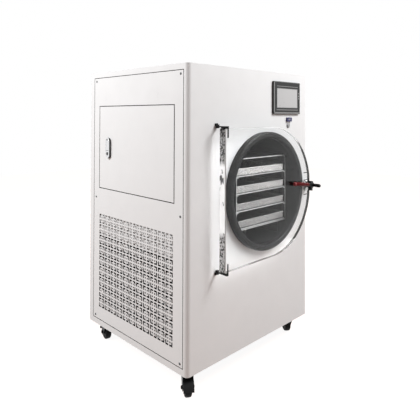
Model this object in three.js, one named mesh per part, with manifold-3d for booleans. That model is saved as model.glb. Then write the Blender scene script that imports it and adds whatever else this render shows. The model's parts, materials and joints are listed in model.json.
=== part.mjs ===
// Pilot freeze dryer on casters: a painted steel cabinet with a clear-doored vacuum chamber, heated shelves
// and product trays, a refrigeration set behind a punched vent panel, and an electrical compartment behind
// a small side door. Millimetres, +Z up. Everything is laid out in cabinet coordinates: x = 0 at the left
// side, y = 0 at the front face, z = 0 on the floor. The last group moves that to the middle of the footprint.
import * as THREE from 'three';
import { mergeGeometries, mergeVertices } from 'three/addons/utils/BufferGeometryUtils.js';
import Module from 'manifold-3d';

const wasm = await Module();
wasm.setup();

// ---------------------------------------------------------------- driving dimensions
const GAP = 0.4; // air between pieces that seat on each other
const SHEET = 2; // cabinet steel
const CABINET = { w: 720, d: 624, h: 1060, z0: 90, corner: 16 };
const CABINET_TOP = CABINET.z0 + CABINET.h;
// The footprint reaches from the lock to the right side and from the latch's grip to the vacuum flange.
const FOOTPRINT = { left: -10, right: 720, front: -110, back: 664 };

// Removable panels are flush in their openings and screw to a frame behind the sheet.
const PANEL = { thick: 1.5, margin: 2.5, frameOut: 6, frameIn: 14, frameThick: 2 };
const SIDE_OPENING = { y0: 20, y1: 597, z0: CABINET.z0 + 23, z1: CABINET.z0 + 1039 };
const BACK_OPENING = { x0: 28, x1: 692, z0: CABINET.z0 + 23, z1: CABINET.z0 + 1037 };

// Punched vent: square cells, each a broken square ring of slots, in a grid.
const VENT = { y0: 72, z0: 165, columns: 11, rows: 9, pitch: 43.7, ring: 37.7, slot: 5, bridge: 5.7 };
const RIGHT_VENT = { y0: 380, z0: 190, columns: 2, rows: 9, pitchY: 92, pitchZ: 26, length: 78, height: 9 };
const BACK_VENT = { x0: 60, z0: 190, columns: 2, rows: 8, pitchX: 110, pitchZ: 26, length: 92, height: 9 };

const CHAMBER = { x: 403, z: 675.5, inner: 212, wall: 3, front: -20, back: 470, dish: 36, facets: 36 };
const GASKET = { outer: 231.5, inner: 208, front: -24.6, wall: 4.2 };
const INSULATION = { inner: 216.2, outer: 240, front: 5, back: 506 };
const SHELVES = { count: 5, pitch: 66.5, top: 131.9, halfWidth: 150.6, thick: 4, front: 18, back: 401 };
const RACK = { halfWidth: 155, post: 3, postDepth: 16, front: 15, back: 408, low: -140, high: 134, skid: 100 };
const TRAY = { count: 4, halfWidth: 149, front: 19, length: 376, height: 27.5, wall: 1.5, lip: 1.8 };

// The door's round side is centred a little to the right of the chamber's axis and a little below it, and a
// notch in the flat on that side seats the latch block.
const DOOR = { left: 274, shift: 10, drop: 2.5, radius: 252, back: -25, front: -54, chamfer: 1.6, flat: 40,
  corner: 4, notchX: 246, notchHalf: 12.5 };
const HINGE = { x: 137, y: -8, pin: 3, play: 0.3, eye: 6.5, arm: 7, lift: 3.5, thick: 4.5, strap: 33,
  strapThick: 3.2 };
const LATCH = { x: 656, shaft: 5, hub: 13, hubBack: -54.8, hubFront: -71.8, tip: -110, lever: 126, tilt: 7,
  blockUp: 16, blockDown: 24, blockHalf: 7, blockThick: 14 };
const HOOK = { back: -16, front: -24, eye: 10, reach: 29 };
const KEEPER = { x0: 672, x1: 691, foot: 694, half: 16, sheet: 3 };

const SCREEN = { x0: 466, x1: 655, z0: 978, z1: 1114, front: -8, windowX0: 490, windowX1: 635.5, windowZ0: 1005,
  windowZ1: 1085, recess: 2.5, body: 34, cutIn: 6, corner: 4 };
const USB = { x: 580, z: 955, w: 34, h: 17.5, front: -7, shankW: 26, shankH: 12, back: 18 };
const BUTTON = { x: 578, z: 930, flange: 11, shank: 9, bore: 7.6, cap: 7.2, front: -3, capFront: -5, back: 18 };

const ACCESS = { y0: 68.5, y1: 554, z0: 665.5, z1: 1008.5, hingeGap: 3, gap: 2, depth: 15, pivotX: 4,
  pivotIn: 2.2, pin: 1.8, pinPlay: 0.3 };
const LOCK = { y: 481, z: 836, w: 28, h: 84, proud: 9.2, wall: 3.4, floor: 2.6, split: 826, keyR: 7,
  keyDrop: 13, keyProud: 0.8 };
const CAM = { x0: 18, x1: 21, eye: 9, reach: 84 };
const STRIKER = { y: 558, lip: 16, x1: 17, z0: 812, z1: 856 };

const VACUUM = { bore: 11.5, pipe: 13.5, flange: 20, hole: 16 };
const DRAIN = { y: 430, z: 370, pipe: 8, hole: 11, valve: 14, stem: 641, end: 662 };
const GLAND = { x: 610, z: 150, shank: 9, hole: 9.6, nut: 14 };
const COMPRESSOR = { x: 320, y: 300, r: 82, h: 205, plate: 108 };
const COIL = { x0: 44, x1: 84, y0: 130, y1: 470, z1: 418, fins: 15 };
const FAN = { x: 84 + GAP, y: 300, z: 256, r: 122, ring: 128, depth: 30, motor: 34, motorBack: 78 };
const ELECTRICS = { x: 120, y0: 24, y1: 588, z0: 470, z1: 1060, apronX: 6, apronTop: 600, sheet: 2 };

const CASTER = { insetX: 55, insetY: 61, plate: 62, plateThick: 3, swivelR: 23, swivelDrop: 8, trail: 26,
  wheelR: 32, wheelW: 25, fork: 38, forkThick: 2.5, axleR: 4, axlePlay: 0.6, cheek: 13, hoodIn: 35,
  hoodOut: 37.5, hoodEnd: 115 };
const CASTER_HEADINGS = { front_left: 235, front_right: 55, rear_left: 75, rear_right: 60 };

// ---------------------------------------------------------------- finishes
function finish(color, roughness, metalness, opacity = 1) {
  return new THREE.MeshStandardMaterial({ color, roughness, metalness, opacity, transparent: opacity < 1 });
}
const WHITE_PAINT = finish(0xe9e8e6, 0.35, 0);
const STAINLESS = finish(0xc9cacb, 0.3, 1);
const ALUMINIUM = finish(0xb9bbbd, 0.4, 1);
const CHROME = finish(0xdddfe0, 0.12, 1);
const RUBBER = finish(0x3b3c3d, 0.6, 0);
const BLACK_PLASTIC = finish(0x141415, 0.4, 0);
const RED_PLASTIC = finish(0x6e1c20, 0.35, 0);
const BLUE_PLASTIC = finish(0x2a3c8f, 0.4, 0);
const ACRYLIC = finish(0xeef3f2, 0.05, 0, 0.3);
const FOAM = finish(0xd8d6cd, 0.85, 0);
const COPPER = finish(0xb2714a, 0.35, 1);
const DARK_STEEL = finish(0x1d1e20, 0.5, 0.6);
const SCREEN_GLASS = finish(0xb9bcc0, 0.15, 0);
const BEZEL = finish(0x37393b, 0.5, 0);

// ---------------------------------------------------------------- geometry helpers
// Position-only, welded, without collapsed triangles, and turned so that its faces point out.
function clean(geometry) {
  const bare = geometry.clone();
  bare.deleteAttribute('normal');
  bare.deleteAttribute('uv');
  const welded = mergeVertices(bare, 1e-3);
  const index = welded.index.array;
  const position = welded.attributes.position;
  const [a, b, c] = [new THREE.Vector3(), new THREE.Vector3(), new THREE.Vector3()];
  const kept = [];
  let volume = 0;
  for (let i = 0; i < index.length; i += 3) {
    const [p, q, r] = [index[i], index[i + 1], index[i + 2]];
    if (p === q || q === r || r === p) continue;
    volume += a.fromBufferAttribute(position, p)
      .dot(b.fromBufferAttribute(position, q).cross(c.fromBufferAttribute(position, r)));
    kept.push(p, q, r);
  }
  if (volume < 0) kept.reverse();
  welded.setIndex(kept);
  return welded;
}

function solid(shape) {
  if (!shape.isBufferGeometry) return shape;
  const g = clean(shape);
  return new wasm.Manifold(new wasm.Mesh({
    numProp: 3,
    vertProperties: new Float32Array(g.attributes.position.array),
    triVerts: new Uint32Array(g.index.array),
  }));
}

function join(...shapes) {
  return shapes.map(solid).reduce((whole, piece) => whole.add(piece));
}

function cut(shape, ...tools) {
  return tools.map(solid).reduce((whole, tool) => whole.subtract(tool), solid(shape));
}

function geometryOf(shape) {
  if (shape.isBufferGeometry) return clean(shape);
  const mesh = shape.getMesh();
  const g = new THREE.BufferGeometry();
  g.setAttribute('position', new THREE.BufferAttribute(new Float32Array(mesh.vertProperties), 3));
  g.setIndex([...mesh.triVerts]);
  return g;
}

function mirrored(shape, z) {
  return clean(geometryOf(shape).translate(0, 0, -z).scale(1, 1, -1).translate(0, 0, z));
}

function piece(name, shape, material) {
  const mesh = new THREE.Mesh(geometryOf(shape), material);
  mesh.name = name;
  mesh.geometry.computeVertexNormals();
  return mesh;
}

function group(x, y, z, ...children) {
  const g = new THREE.Group();
  g.position.set(x, y, z);
  g.add(...children);
  return g;
}

function box(x0, x1, y0, y1, z0, z1) {
  return new THREE.BoxGeometry(x1 - x0, y1 - y0, z1 - z0)
    .translate((x0 + x1) / 2, (y0 + y1) / 2, (z0 + z1) / 2);
}

// Shape coordinates become the two other axes: (y, z) for x, (x, z) for y and (x, y) for z.
const AXES = {
  x: new THREE.Matrix4().makeBasis(new THREE.Vector3(0, 1, 0), new THREE.Vector3(0, 0, 1),
    new THREE.Vector3(1, 0, 0)),
  y: new THREE.Matrix4().makeBasis(new THREE.Vector3(1, 0, 0), new THREE.Vector3(0, 0, 1),
    new THREE.Vector3(0, -1, 0)),
  z: new THREE.Matrix4(),
};

function extrude(axis, shape, from, to, options = {}) {
  const settings = { depth: to - from, bevelEnabled: false, curveSegments: 6, ...options };
  const g = new THREE.ExtrudeGeometry(shape, settings);
  if (options.bevelEnabled) g.translate(0, 0, options.bevelThickness);
  g.applyMatrix4(AXES[axis]);
  if (axis === 'x') g.translate(from, 0, 0);
  if (axis === 'y') g.translate(0, to, 0);
  if (axis === 'z') g.translate(0, 0, from);
  return g;
}

function turn(axis, g) {
  if (axis === 'x') g.rotateZ(-Math.PI / 2);
  if (axis === 'z') g.rotateX(Math.PI / 2);
  return g;
}

function rod(axis, radius, from, to, facets = 16) {
  const g = new THREE.CylinderGeometry(radius, radius, to - from, facets);
  return turn(axis, g.translate(0, (from + to) / 2, 0));
}

// Profile points are [radius, height along the axis].
function revolve(axis, profile, facets) {
  const points = profile.map(([r, h]) => new THREE.Vector2(r, h));
  return turn(axis, new THREE.LatheGeometry(points, facets));
}

function revolveRing(axis, profile, facets) {
  return revolve(axis, [...profile, profile[0]], facets);
}

function rectangle(u0, u1, v0, v1, r = 0) {
  const s = new THREE.Shape();
  if (r === 0) {
    s.setFromPoints([[u0, v0], [u1, v0], [u1, v1], [u0, v1]].map(([u, v]) => new THREE.Vector2(u, v)));
    return s;
  }
  s.moveTo(u0 + r, v0);
  s.lineTo(u1 - r, v0);
  s.absarc(u1 - r, v0 + r, r, -Math.PI / 2, 0, false);
  s.lineTo(u1, v1 - r);
  s.absarc(u1 - r, v1 - r, r, 0, Math.PI / 2, false);
  s.lineTo(u0 + r, v1);
  s.absarc(u0 + r, v1 - r, r, Math.PI / 2, Math.PI, false);
  s.lineTo(u0, v0 + r);
  s.absarc(u0 + r, v0 + r, r, Math.PI, 1.5 * Math.PI, false);
  return s;
}

function tube(points, radius, steps) {
  const section = new THREE.Shape();
  section.absarc(0, 0, radius, 0, 2 * Math.PI, false);
  const path = new THREE.CatmullRomCurve3(points.map((p) => new THREE.Vector3(...p)), false, 'centripetal');
  return new THREE.ExtrudeGeometry(section, { steps, extrudePath: path, curveSegments: 4 });
}

// ---------------------------------------------------------------- cabinet
// Plan view of the cabinet, rounded at its two front corners.
function planOutline(inset) {
  const r = CABINET.corner - inset;
  const [x0, x1, y0, y1] = [inset, CABINET.w - inset, inset, CABINET.d - inset];
  const s = new THREE.Shape();
  s.moveTo(x0, y1);
  s.lineTo(x0, y0 + r);
  s.absarc(x0 + r, y0 + r, r, Math.PI, 1.5 * Math.PI, false);
  s.lineTo(x1 - r, y0);
  s.absarc(x1 - r, y0 + r, r, 1.5 * Math.PI, 2 * Math.PI, false);
  s.lineTo(x1, y1);
  return s;
}

// The frame that a flush panel screws to: a flat ring behind the sheet around the opening.
function panelFrame(axis, u0, u1, z0, z1, from, to) {
  const { frameOut: o, frameIn: i } = PANEL;
  const ring = rectangle(u0 - o, u1 + o, z0 - o, z1 + o);
  ring.holes.push(rectangle(u0 + i, u1 - i, z0 + i, z1 - i));
  return extrude(axis, ring, from, to);
}

function cabinetShell() {
  const outer = extrude('z', planOutline(0), CABINET.z0, CABINET_TOP);
  const inner = extrude('z', planOutline(SHEET), CABINET.z0 - 1, CABINET_TOP - SHEET);
  const s = SIDE_OPENING;
  const b = BACK_OPENING;
  const sides = box(-1, CABINET.w + 1, s.y0, s.y1, s.z0, s.z1);
  const back = box(b.x0, b.x1, CABINET.d - SHEET - 1, CABINET.d + 1, b.z0, b.z1);
  const mouth = rod('y', CHAMBER.inner + CHAMBER.wall + GAP, -1, SHEET + 1, CHAMBER.facets)
    .translate(CHAMBER.x, 0, CHAMBER.z);
  const screen = box(SCREEN.x0 + SCREEN.cutIn - 1, SCREEN.x1 - SCREEN.cutIn + 1, -1, SHEET + 1,
    SCREEN.z0 + SCREEN.cutIn - 1, SCREEN.z1 - SCREEN.cutIn + 1);
  const usb = box(USB.x - USB.shankW / 2 - 1, USB.x + USB.shankW / 2 + 1, -1, SHEET + 1,
    USB.z - USB.shankH / 2 - 1, USB.z + USB.shankH / 2 + 1);
  const button = rod('y', BUTTON.shank + 0.5, -1, SHEET + 1).translate(BUTTON.x, 0, BUTTON.z);
  const t = PANEL.frameThick;
  return join(
    cut(cut(outer, inner), sides, back, mouth, screen, usb, button),
    panelFrame('x', s.y0, s.y1, s.z0, s.z1, SHEET, SHEET + t),
    panelFrame('x', s.y0, s.y1, s.z0, s.z1, CABINET.w - SHEET - t, CABINET.w - SHEET),
    panelFrame('y', b.x0, b.x1, b.z0, b.z1, CABINET.d - SHEET - t, CABINET.d - SHEET),
  );
}

// Floor pan with turned-up edges, and the four caster mounting plates welded under it.
function basePan() {
  const clear = SHEET + GAP;
  const pan = extrude('z', planOutline(clear), CABINET.z0, CABINET.z0 + 12);
  const hollow = extrude('z', planOutline(clear + SHEET), CABINET.z0 + 3, CABINET.z0 + 13);
  const half = CASTER.plate / 2;
  const plates = casterPlaces().map(({ x, y }) => box(x - half, x + half, y - half, y + half,
    CABINET.z0 - CASTER.plateThick, CABINET.z0));
  return join(cut(pan, hollow), ...plates);
}

// One half of a broken square ring, centred on a vent cell; side is -1 for left and +1 for right.
function ventSlot(u, v, side) {
  const outer = VENT.ring / 2;
  const inner = outer - VENT.slot;
  const end = VENT.bridge / 2;
  const outline = [[end, outer], [outer, outer], [outer, -outer], [end, -outer], [end, -inner], [inner, -inner],
    [inner, inner], [end, inner]];
  const s = new THREE.Shape(outline.map(([p, q]) => new THREE.Vector2(u + side * p, v + q)));
  return clean(extrude('x', s, -1, PANEL.thick + 1));
}

function panelSheet(u0, u1) {
  const m = PANEL.margin;
  return rectangle(u0 + m, u1 - m, SIDE_OPENING.z0 + m, SIDE_OPENING.z1 - m);
}

// The panel is cut out for the side door, and a folded striker behind its edge takes the door's cam.
function leftPanel() {
  const sheet = panelSheet(SIDE_OPENING.y0, SIDE_OPENING.y1);
  sheet.holes.push(rectangle(ACCESS.y0, ACCESS.y1, ACCESS.z0, ACCESS.z1));
  const slots = [];
  for (let row = 0; row < VENT.rows; row += 1) {
    for (let column = 0; column < VENT.columns; column += 1) {
      const u = VENT.y0 + (column + 0.5) * VENT.pitch;
      const v = VENT.z0 + (row + 0.5) * VENT.pitch;
      slots.push(ventSlot(u, v, -1), ventSlot(u, v, 1));
    }
  }
  const { y, lip, x1, z0, z1 } = STRIKER;
  return join(cut(extrude('x', sheet, 0, PANEL.thick), mergeGeometries(slots)),
    box(PANEL.thick / 2, x1, y, y + 2, z0, z1), box(x1 - 2, x1, y, y + lip, z0, z1));
}

// Tools for rows of plain slots, cut along the given axis from one depth to another.
function slotRows(axis, vent, u0, pitchU, from, to) {
  const slots = [];
  for (let row = 0; row < vent.rows; row += 1) {
    for (let column = 0; column < vent.columns; column += 1) {
      const u = u0 + column * pitchU;
      const v = vent.z0 + row * vent.pitchZ;
      slots.push(clean(extrude(axis, rectangle(u, u + vent.length, v, v + vent.height), from, to)));
    }
  }
  return mergeGeometries(slots);
}

function rightPanel() {
  const outside = CABINET.w;
  const sheet = extrude('x', panelSheet(SIDE_OPENING.y0, SIDE_OPENING.y1), outside - PANEL.thick, outside);
  return cut(sheet, slotRows('x', RIGHT_VENT, RIGHT_VENT.y0, RIGHT_VENT.pitchY, outside - 5, outside + 5));
}

function backPanel() {
  const outside = CABINET.d;
  const sheet = extrude('y', panelSheet(BACK_OPENING.x0, BACK_OPENING.x1), outside - PANEL.thick, outside);
  const hole = (r, x, z) => rod('y', r, outside - 5, outside + 5, 16).translate(x, 0, z);
  return cut(sheet, slotRows('y', BACK_VENT, BACK_VENT.x0, BACK_VENT.pitchX, outside - 5, outside + 5),
    hole(VACUUM.hole, CHAMBER.x, CHAMBER.z), hole(DRAIN.hole, CHAMBER.x, DRAIN.z),
    hole(GLAND.hole, GLAND.x, GLAND.z));
}

// ---------------------------------------------------------------- chamber
function chamberDrum() {
  const { inner, wall, front, back, dish, facets } = CHAMBER;
  const outer = inner + wall;
  return revolveRing('y', [
    [inner, front], [outer, front], [outer, back - dish], [outer - 14, back - 12], [outer - 50, back],
    [VACUUM.bore, back], [VACUUM.bore, back - wall], [outer - 51, back - wall], [inner - 13, back - 14],
    [inner, back - dish - 1],
  ], facets);
}

function insulation() {
  const { inner, outer, front, back } = INSULATION;
  const sleeve = revolveRing('y', [
    [inner, front], [outer, front], [outer, back - 14], [outer - 14, back], [VACUUM.pipe + 1.5, back],
    [VACUUM.pipe + 1.5, CHAMBER.back + 1.2], [inner - 50, CHAMBER.back + 1.2],
    [inner - 14, CHAMBER.back - 10.4],
    [inner, CHAMBER.back - CHAMBER.dish + 2],
  ], CHAMBER.facets);
  return cut(sleeve, rod('z', DRAIN.pipe + 1, -outer - 1, -inner + 8, 12).translate(0, DRAIN.y, 0));
}

// Moulded seal that caps the drum's rim: a channel open towards the cabinet.
function doorGasket() {
  const { outer, inner, front, wall } = GASKET;
  const rimOut = CHAMBER.inner + CHAMBER.wall + GAP;
  const rimIn = CHAMBER.inner - GAP;
  return revolveRing('y', [
    [inner, -GAP], [inner, front + 3], [inner + 3, front], [outer - 5, front], [outer, front + 5],
    [outer, -GAP], [rimOut, -GAP], [rimOut, front + wall], [rimIn, front + wall], [rimIn, -GAP],
  ], CHAMBER.facets);
}

function shelfTop(i) {
  return SHELVES.top - i * SHELVES.pitch;
}

// Two side frames of posts and ledges, tied across the back and standing on two skids.
function rackFrame() {
  const { halfWidth: w, post, postDepth: d, front, back, low, high, skid } = RACK;
  const parts = [];
  for (const side of [-1, 1]) {
    const [x0, x1] = side < 0 ? [-w, -w + post] : [w - post, w];
    parts.push(box(x0, x1, front, front + d, low, high), box(x0, x1, back - d, back, low, high));
    for (let i = 0; i < SHELVES.count; i += 1) {
      const z = shelfTop(i) - SHELVES.thick - GAP;
      const ledge = side < 0 ? [-w + 1, -w + post + 10] : [w - post - 10, w - 1];
      parts.push(box(...ledge, front, back, z - 3, z));
    }
  }
  const floor = shelfTop(SHELVES.count - 1) - SHELVES.thick - GAP - 3;
  parts.push(box(-w + 1, w - 1, back - 6, back, high - 14, high));
  parts.push(box(-w + 1, w - 1, back - 6, back, floor, floor + 3));
  parts.push(box(-w + 1, w - 1, front, front + 6, floor, floor + 3));
  const foot = -Math.sqrt((CHAMBER.inner - 2) ** 2 - (skid + 2) ** 2);
  for (const side of [-1, 1]) {
    const x = side * skid;
    parts.push(box(x - 1.5, x + 1.5, front, back, foot, floor + 1));
  }
  return join(...parts);
}

function shelf(i) {
  const { halfWidth: w, front, back, thick } = SHELVES;
  return box(-w, w, front, back, shelfTop(i) - thick, shelfTop(i));
}

// Pressed tray with leaning walls and a rolled lip.
function tray(i) {
  const z = shelfTop(i + 1) + GAP;
  const { halfWidth: w, front: y0, length, height, wall, lip } = TRAY;
  const lean = 2.5;
  const body = frustum(w - lip - lean, w - lip, y0 + lip + lean, y0 + lip, y0 + length - lip, z, z + height,
    lean);
  const hollow = frustum(w - lip - lean - wall, w - lip - wall, y0 + lip + lean + wall, y0 + lip + wall,
    y0 + length - lip - wall, z + wall, z + height + 1, lean);
  const roll = cut(box(-w, w, y0, y0 + length, z + height - 3, z + height),
    box(-w + lip + 1, w - lip - 1, y0 + lip + 1, y0 + length - lip - 1, z, z + height + 1));
  return join(cut(body, hollow), roll);
}

// Four-sided block that widens upwards: half widths low and high, front edges low and high, back edge high.
function frustum(w0, w1, front0, front1, back1, z0, z1, lean) {
  const low = [[-w0, front0], [w0, front0], [w0, back1 - lean], [-w0, back1 - lean]];
  const high = [[-w1, front1], [w1, front1], [w1, back1], [-w1, back1]];
  const corners = [...low.map(([x, y]) => [x, y, z0]), ...high.map(([x, y]) => [x, y, z1])];
  const faces = [[0, 3, 2, 1], [4, 5, 6, 7], [0, 1, 5, 4], [1, 2, 6, 5], [2, 3, 7, 6], [3, 0, 4, 7]];
  const g = new THREE.BufferGeometry();
  g.setAttribute('position', new THREE.Float32BufferAttribute(corners.flat(), 3));
  g.setIndex(faces.flatMap(([p, q, r, s]) => [p, q, r, p, r, s]));
  return g;
}

// ---------------------------------------------------------------- chamber door, its hinges and its latch
// Door outline about the chamber's axis: square at the hinge side, round at the other.
function doorOutline() {
  const { left, shift, drop, radius: R, flat, corner: c, notchX, notchHalf: n } = DOOR;
  const half = Math.asin(flat / R);
  const flatX = shift + R * Math.cos(half);
  const [low, high] = [-drop - R, -drop + R];
  const s = new THREE.Shape();
  s.moveTo(-left + c, low);
  s.lineTo(shift, low);
  s.absarc(shift, -drop, R, -Math.PI / 2, -half, false);
  s.lineTo(flatX, -n);
  s.lineTo(notchX, -n);
  s.lineTo(notchX, n);
  s.lineTo(flatX, n);
  s.absarc(shift, -drop, R, half, Math.PI / 2, false);
  s.lineTo(-left + c, high);
  s.lineTo(-left, high - c);
  s.lineTo(-left, low + c);
  return s;
}

function doorPlate() {
  const c = DOOR.chamfer;
  return extrude('y', doorOutline(), DOOR.front + c, DOOR.back - c, { curveSegments: 14, bevelEnabled: true,
    bevelThickness: c, bevelSize: c, bevelOffset: -c, bevelSegments: 1 }).translate(0, c, 0);
}

const DOOR_Z = CHAMBER.z - DOOR.drop;
const DOOR_TOP = DOOR_Z + DOOR.radius;
const HINGE_EYE_TOP = DOOR_TOP + GAP + HINGE.lift + HINGE.thick;

// Slim arm over the door's edge from the hinge pin, on a foot, with a narrow strap turned down its front face.
function hingeStrap() {
  const { x, y, pin, play, eye, arm, lift, strap, strapThick } = HINGE;
  const z0 = DOOR_TOP + GAP;
  const front = DOOR.front - GAP - strapThick;
  const bar = join(
    box(x - arm / 2, x + arm / 2, front, y, z0 + lift, HINGE_EYE_TOP),
    box(x - arm / 2, x + arm / 2 + 4, DOOR.front + 4, DOOR.back - 2, z0, z0 + lift + 1),
    box(x + 1, x + 5, front, front + strapThick, z0 - strap, HINGE_EYE_TOP),
    rod('z', eye, z0, HINGE_EYE_TOP, 16).translate(x, y, 0),
  );
  return cut(bar, rod('z', pin + play, z0 - 1, HINGE_EYE_TOP + 1, 12).translate(x, y, 0));
}

// Foot on the cabinet's face with a knob that carries the pin.
function hingeBracket() {
  const { x, y, pin, eye } = HINGE;
  const z0 = HINGE_EYE_TOP + GAP;
  return join(
    box(x - eye, x + eye, -GAP - 3, -GAP, z0, z0 + 9),
    box(x - eye + 1, x + eye - 1, y, -GAP - 1, z0, z0 + 4.5),
    rod('z', eye, z0, z0 + 5, 14).translate(x, y, 0),
    rod('z', pin, DOOR_TOP + 1, z0 + 1, 12).translate(x, y, 0),
  );
}

// Bearing block seated in the notch of the door's edge.
function latchBlock() {
  const x0 = CHAMBER.x + DOOR.notchX + GAP;
  const half = DOOR.notchHalf - GAP;
  const outline = rectangle(x0, x0 + 20, CHAMBER.z - half, CHAMBER.z + half, 3);
  const bore = rod('y', LATCH.shaft + 0.5, -60, -20).translate(LATCH.x, 0, CHAMBER.z);
  return cut(extrude('y', outline, DOOR.front + 3, DOOR.back - 3, { curveSegments: 3 }), bore);
}

// Shaft, hub and outward grip in one turning, on an upright block with a socket for the lever.
function latchSpindle() {
  const { shaft, hub, hubBack, hubFront, tip, blockUp, blockDown, blockHalf, blockThick } = LATCH;
  const turned = revolve('y', [[0, tip], [4.5, tip + 1], [7, tip + 4], [7.5, tip + 10], [6.5, hubFront - 2],
    [hub - 1, hubFront], [hub, hubFront + 2], [hub, hubBack], [shaft, hubBack], [shaft, HOOK.back + 4],
    [0, HOOK.back + 4]], 16);
  const middle = (hubBack + hubFront) / 2;
  const socket = rod('x', 8.5, -hub - 10, -2, 14).translate(0, middle, 0);
  const hole = rod('x', 4.8, -hub - 11, -hub + 2, 12).translate(0, middle, 0);
  const block = box(-blockHalf, blockHalf, hubBack - blockThick, hubBack, -blockDown, blockUp);
  return cut(join(turned, socket, block), hole);
}

// Sleeve-gripped bar, slimmer at the socket, with a round tip. It lies along -x from the shaft's axis.
function latchLever() {
  const { hub, lever } = LATCH;
  const root = hub + 10 + GAP;
  return revolve('x', [[0, -hub + 1.4], [4.2, -hub + 1.4], [4.2, -root], [7.6, -root], [8.2, -root - 6],
    [8.2, -lever + 16], [7, -lever + 12], [7, -lever + 6], [5, -lever + 1.5], [0, -lever]], 14);
}

// Flat finger on the shaft's inner end. It hangs down when the latch is free.
function latchHook() {
  const { back, front, eye, reach } = HOOK;
  const s = new THREE.Shape();
  s.absarc(0, 0, eye, 0, Math.PI, false);
  s.lineTo(-eye + 2, -reach + 5);
  s.absarc(0, -reach + 5, 5, Math.PI, 2 * Math.PI, false);
  return cut(extrude('y', s, front, back), rod('y', LATCH.shaft + GAP, front - 1, back + 1));
}

// Channel on the cabinet's face, open towards the door, that the turned hook slides into.
function latchKeeper() {
  const { x0, x1, foot, half, sheet: t } = KEEPER;
  const lip = HOOK.front - 0.6;
  const s = new THREE.Shape([[x0, -GAP], [x0, -GAP - t], [x1, -GAP - t], [x1, lip], [x0, lip], [x0, lip - t],
    [foot, lip - t], [foot, -GAP]].map(([u, v]) => new THREE.Vector2(u, v)));
  return extrude('z', s, CHAMBER.z - half, CHAMBER.z + half);
}

// ---------------------------------------------------------------- front controls
function screenHousing() {
  const s = SCREEN;
  const face = extrude('y', rectangle(s.x0, s.x1, s.z0, s.z1, s.corner), s.front, -GAP, { curveSegments: 3 });
  const body = box(s.x0 + s.cutIn, s.x1 - s.cutIn, -GAP - 1, s.body, s.z0 + s.cutIn, s.z1 - s.cutIn);
  const recess = box(s.windowX0, s.windowX1, s.front - 1, s.front + s.recess, s.windowZ0, s.windowZ1);
  return cut(join(face, body), recess);
}

function screenPane() {
  const s = SCREEN;
  return box(s.windowX0 + GAP, s.windowX1 - GAP, s.front + 0.5, s.front + s.recess - GAP, s.windowZ0 + GAP,
    s.windowZ1 - GAP);
}

function usbPort() {
  const u = USB;
  const plate = rectangle(u.x - u.w / 2, u.x + u.w / 2, u.z - u.h / 2, u.z + u.h / 2, 2.5);
  return join(extrude('y', plate, u.front, -GAP, { curveSegments: 3 }),
    box(u.x - u.shankW / 2, u.x + u.shankW / 2, -GAP - 1, u.back, u.z - u.shankH / 2, u.z + u.shankH / 2));
}

function buttonCollar() {
  const b = BUTTON;
  return revolveRing('y', [[b.bore, b.front], [b.flange - 1, b.front], [b.flange, b.front + 1],
    [b.flange, -GAP], [b.shank, -GAP], [b.shank, b.back], [b.bore, b.back]], 16);
}

function buttonCap() {
  const b = BUTTON;
  return revolve('y', [[0, b.capFront], [b.cap - 1, b.capFront], [b.cap, b.capFront + 1], [b.cap, b.back - 6],
    [0, b.back - 6]], 16);
}

// ---------------------------------------------------------------- side door and its lock
const ACCESS_DOOR = { y0: ACCESS.y0 + ACCESS.hingeGap, y1: ACCESS.y1 - ACCESS.gap, z0: ACCESS.z0 + ACCESS.gap,
  z1: ACCESS.z1 - ACCESS.gap };
const PIVOT = { x: ACCESS.pivotX, y: ACCESS_DOOR.y0 + ACCESS.pivotIn };

// Folded pan with pivot holes in its top and bottom edges and a cut-out for the lock.
function accessDoor() {
  const d = ACCESS_DOOR;
  const pan = box(0, ACCESS.depth, d.y0, d.y1, d.z0, d.z1);
  const hollow = box(PANEL.thick, ACCESS.depth + 1, d.y0 + SHEET, d.y1 - SHEET, d.z0 + SHEET, d.z1 - SHEET);
  const r = ACCESS.pin + ACCESS.pinPlay;
  const pivot = rod('z', r, d.z0 - 1, d.z1 + 1, 10).translate(PIVOT.x, PIVOT.y, 0);
  const slot = extrude('x', stadium(LOCK.w / 2 - 4, LOCK.h / 2 - 4), -1, ACCESS.depth)
    .translate(0, LOCK.y, LOCK.z);
  return cut(join(cut(pan, hollow), pivotBosses(d)), pivot, slot);
}

// Corner blocks that thicken the pan's folded edges around the pivot holes.
function pivotBosses(d) {
  const reach = 12;
  return join(
    box(PANEL.thick / 2, ACCESS.depth - 3, d.y0 + 0.5, d.y0 + reach, d.z0 + 0.5, d.z0 + reach),
    box(PANEL.thick / 2, ACCESS.depth - 3, d.y0 + 0.5, d.y0 + reach, d.z1 - reach, d.z1 - 0.5),
    box(PANEL.thick / 2, ACCESS.depth - 3, d.y0 + 0.5, d.y0 + 2, d.z0 + 0.5, d.z1 - 0.5),
  );
}

function stadium(r, halfHeight) {
  const s = new THREE.Shape();
  const c = halfHeight - r;
  s.absarc(0, c, r, 0, Math.PI, false);
  s.absarc(0, -c, r, Math.PI, 2 * Math.PI, false);
  return s;
}

// Angle behind the panel that carries one pivot pin; this is the upper one.
function accessHinge() {
  const { z1 } = ACCESS_DOOR;
  const z0 = z1 + 1;
  return join(
    box(PANEL.thick + GAP, PANEL.thick + GAP + 2, PIVOT.y - 22, PIVOT.y + 16, z0 + 3, z0 + 24),
    box(PANEL.thick + GAP, 16, PIVOT.y - 10, PIVOT.y + 10, z0 + 3, z0 + 5),
    rod('z', ACCESS.pin, z1 - 9, z0 + 4, 10).translate(PIVOT.x, PIVOT.y, 0),
  );
}

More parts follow.
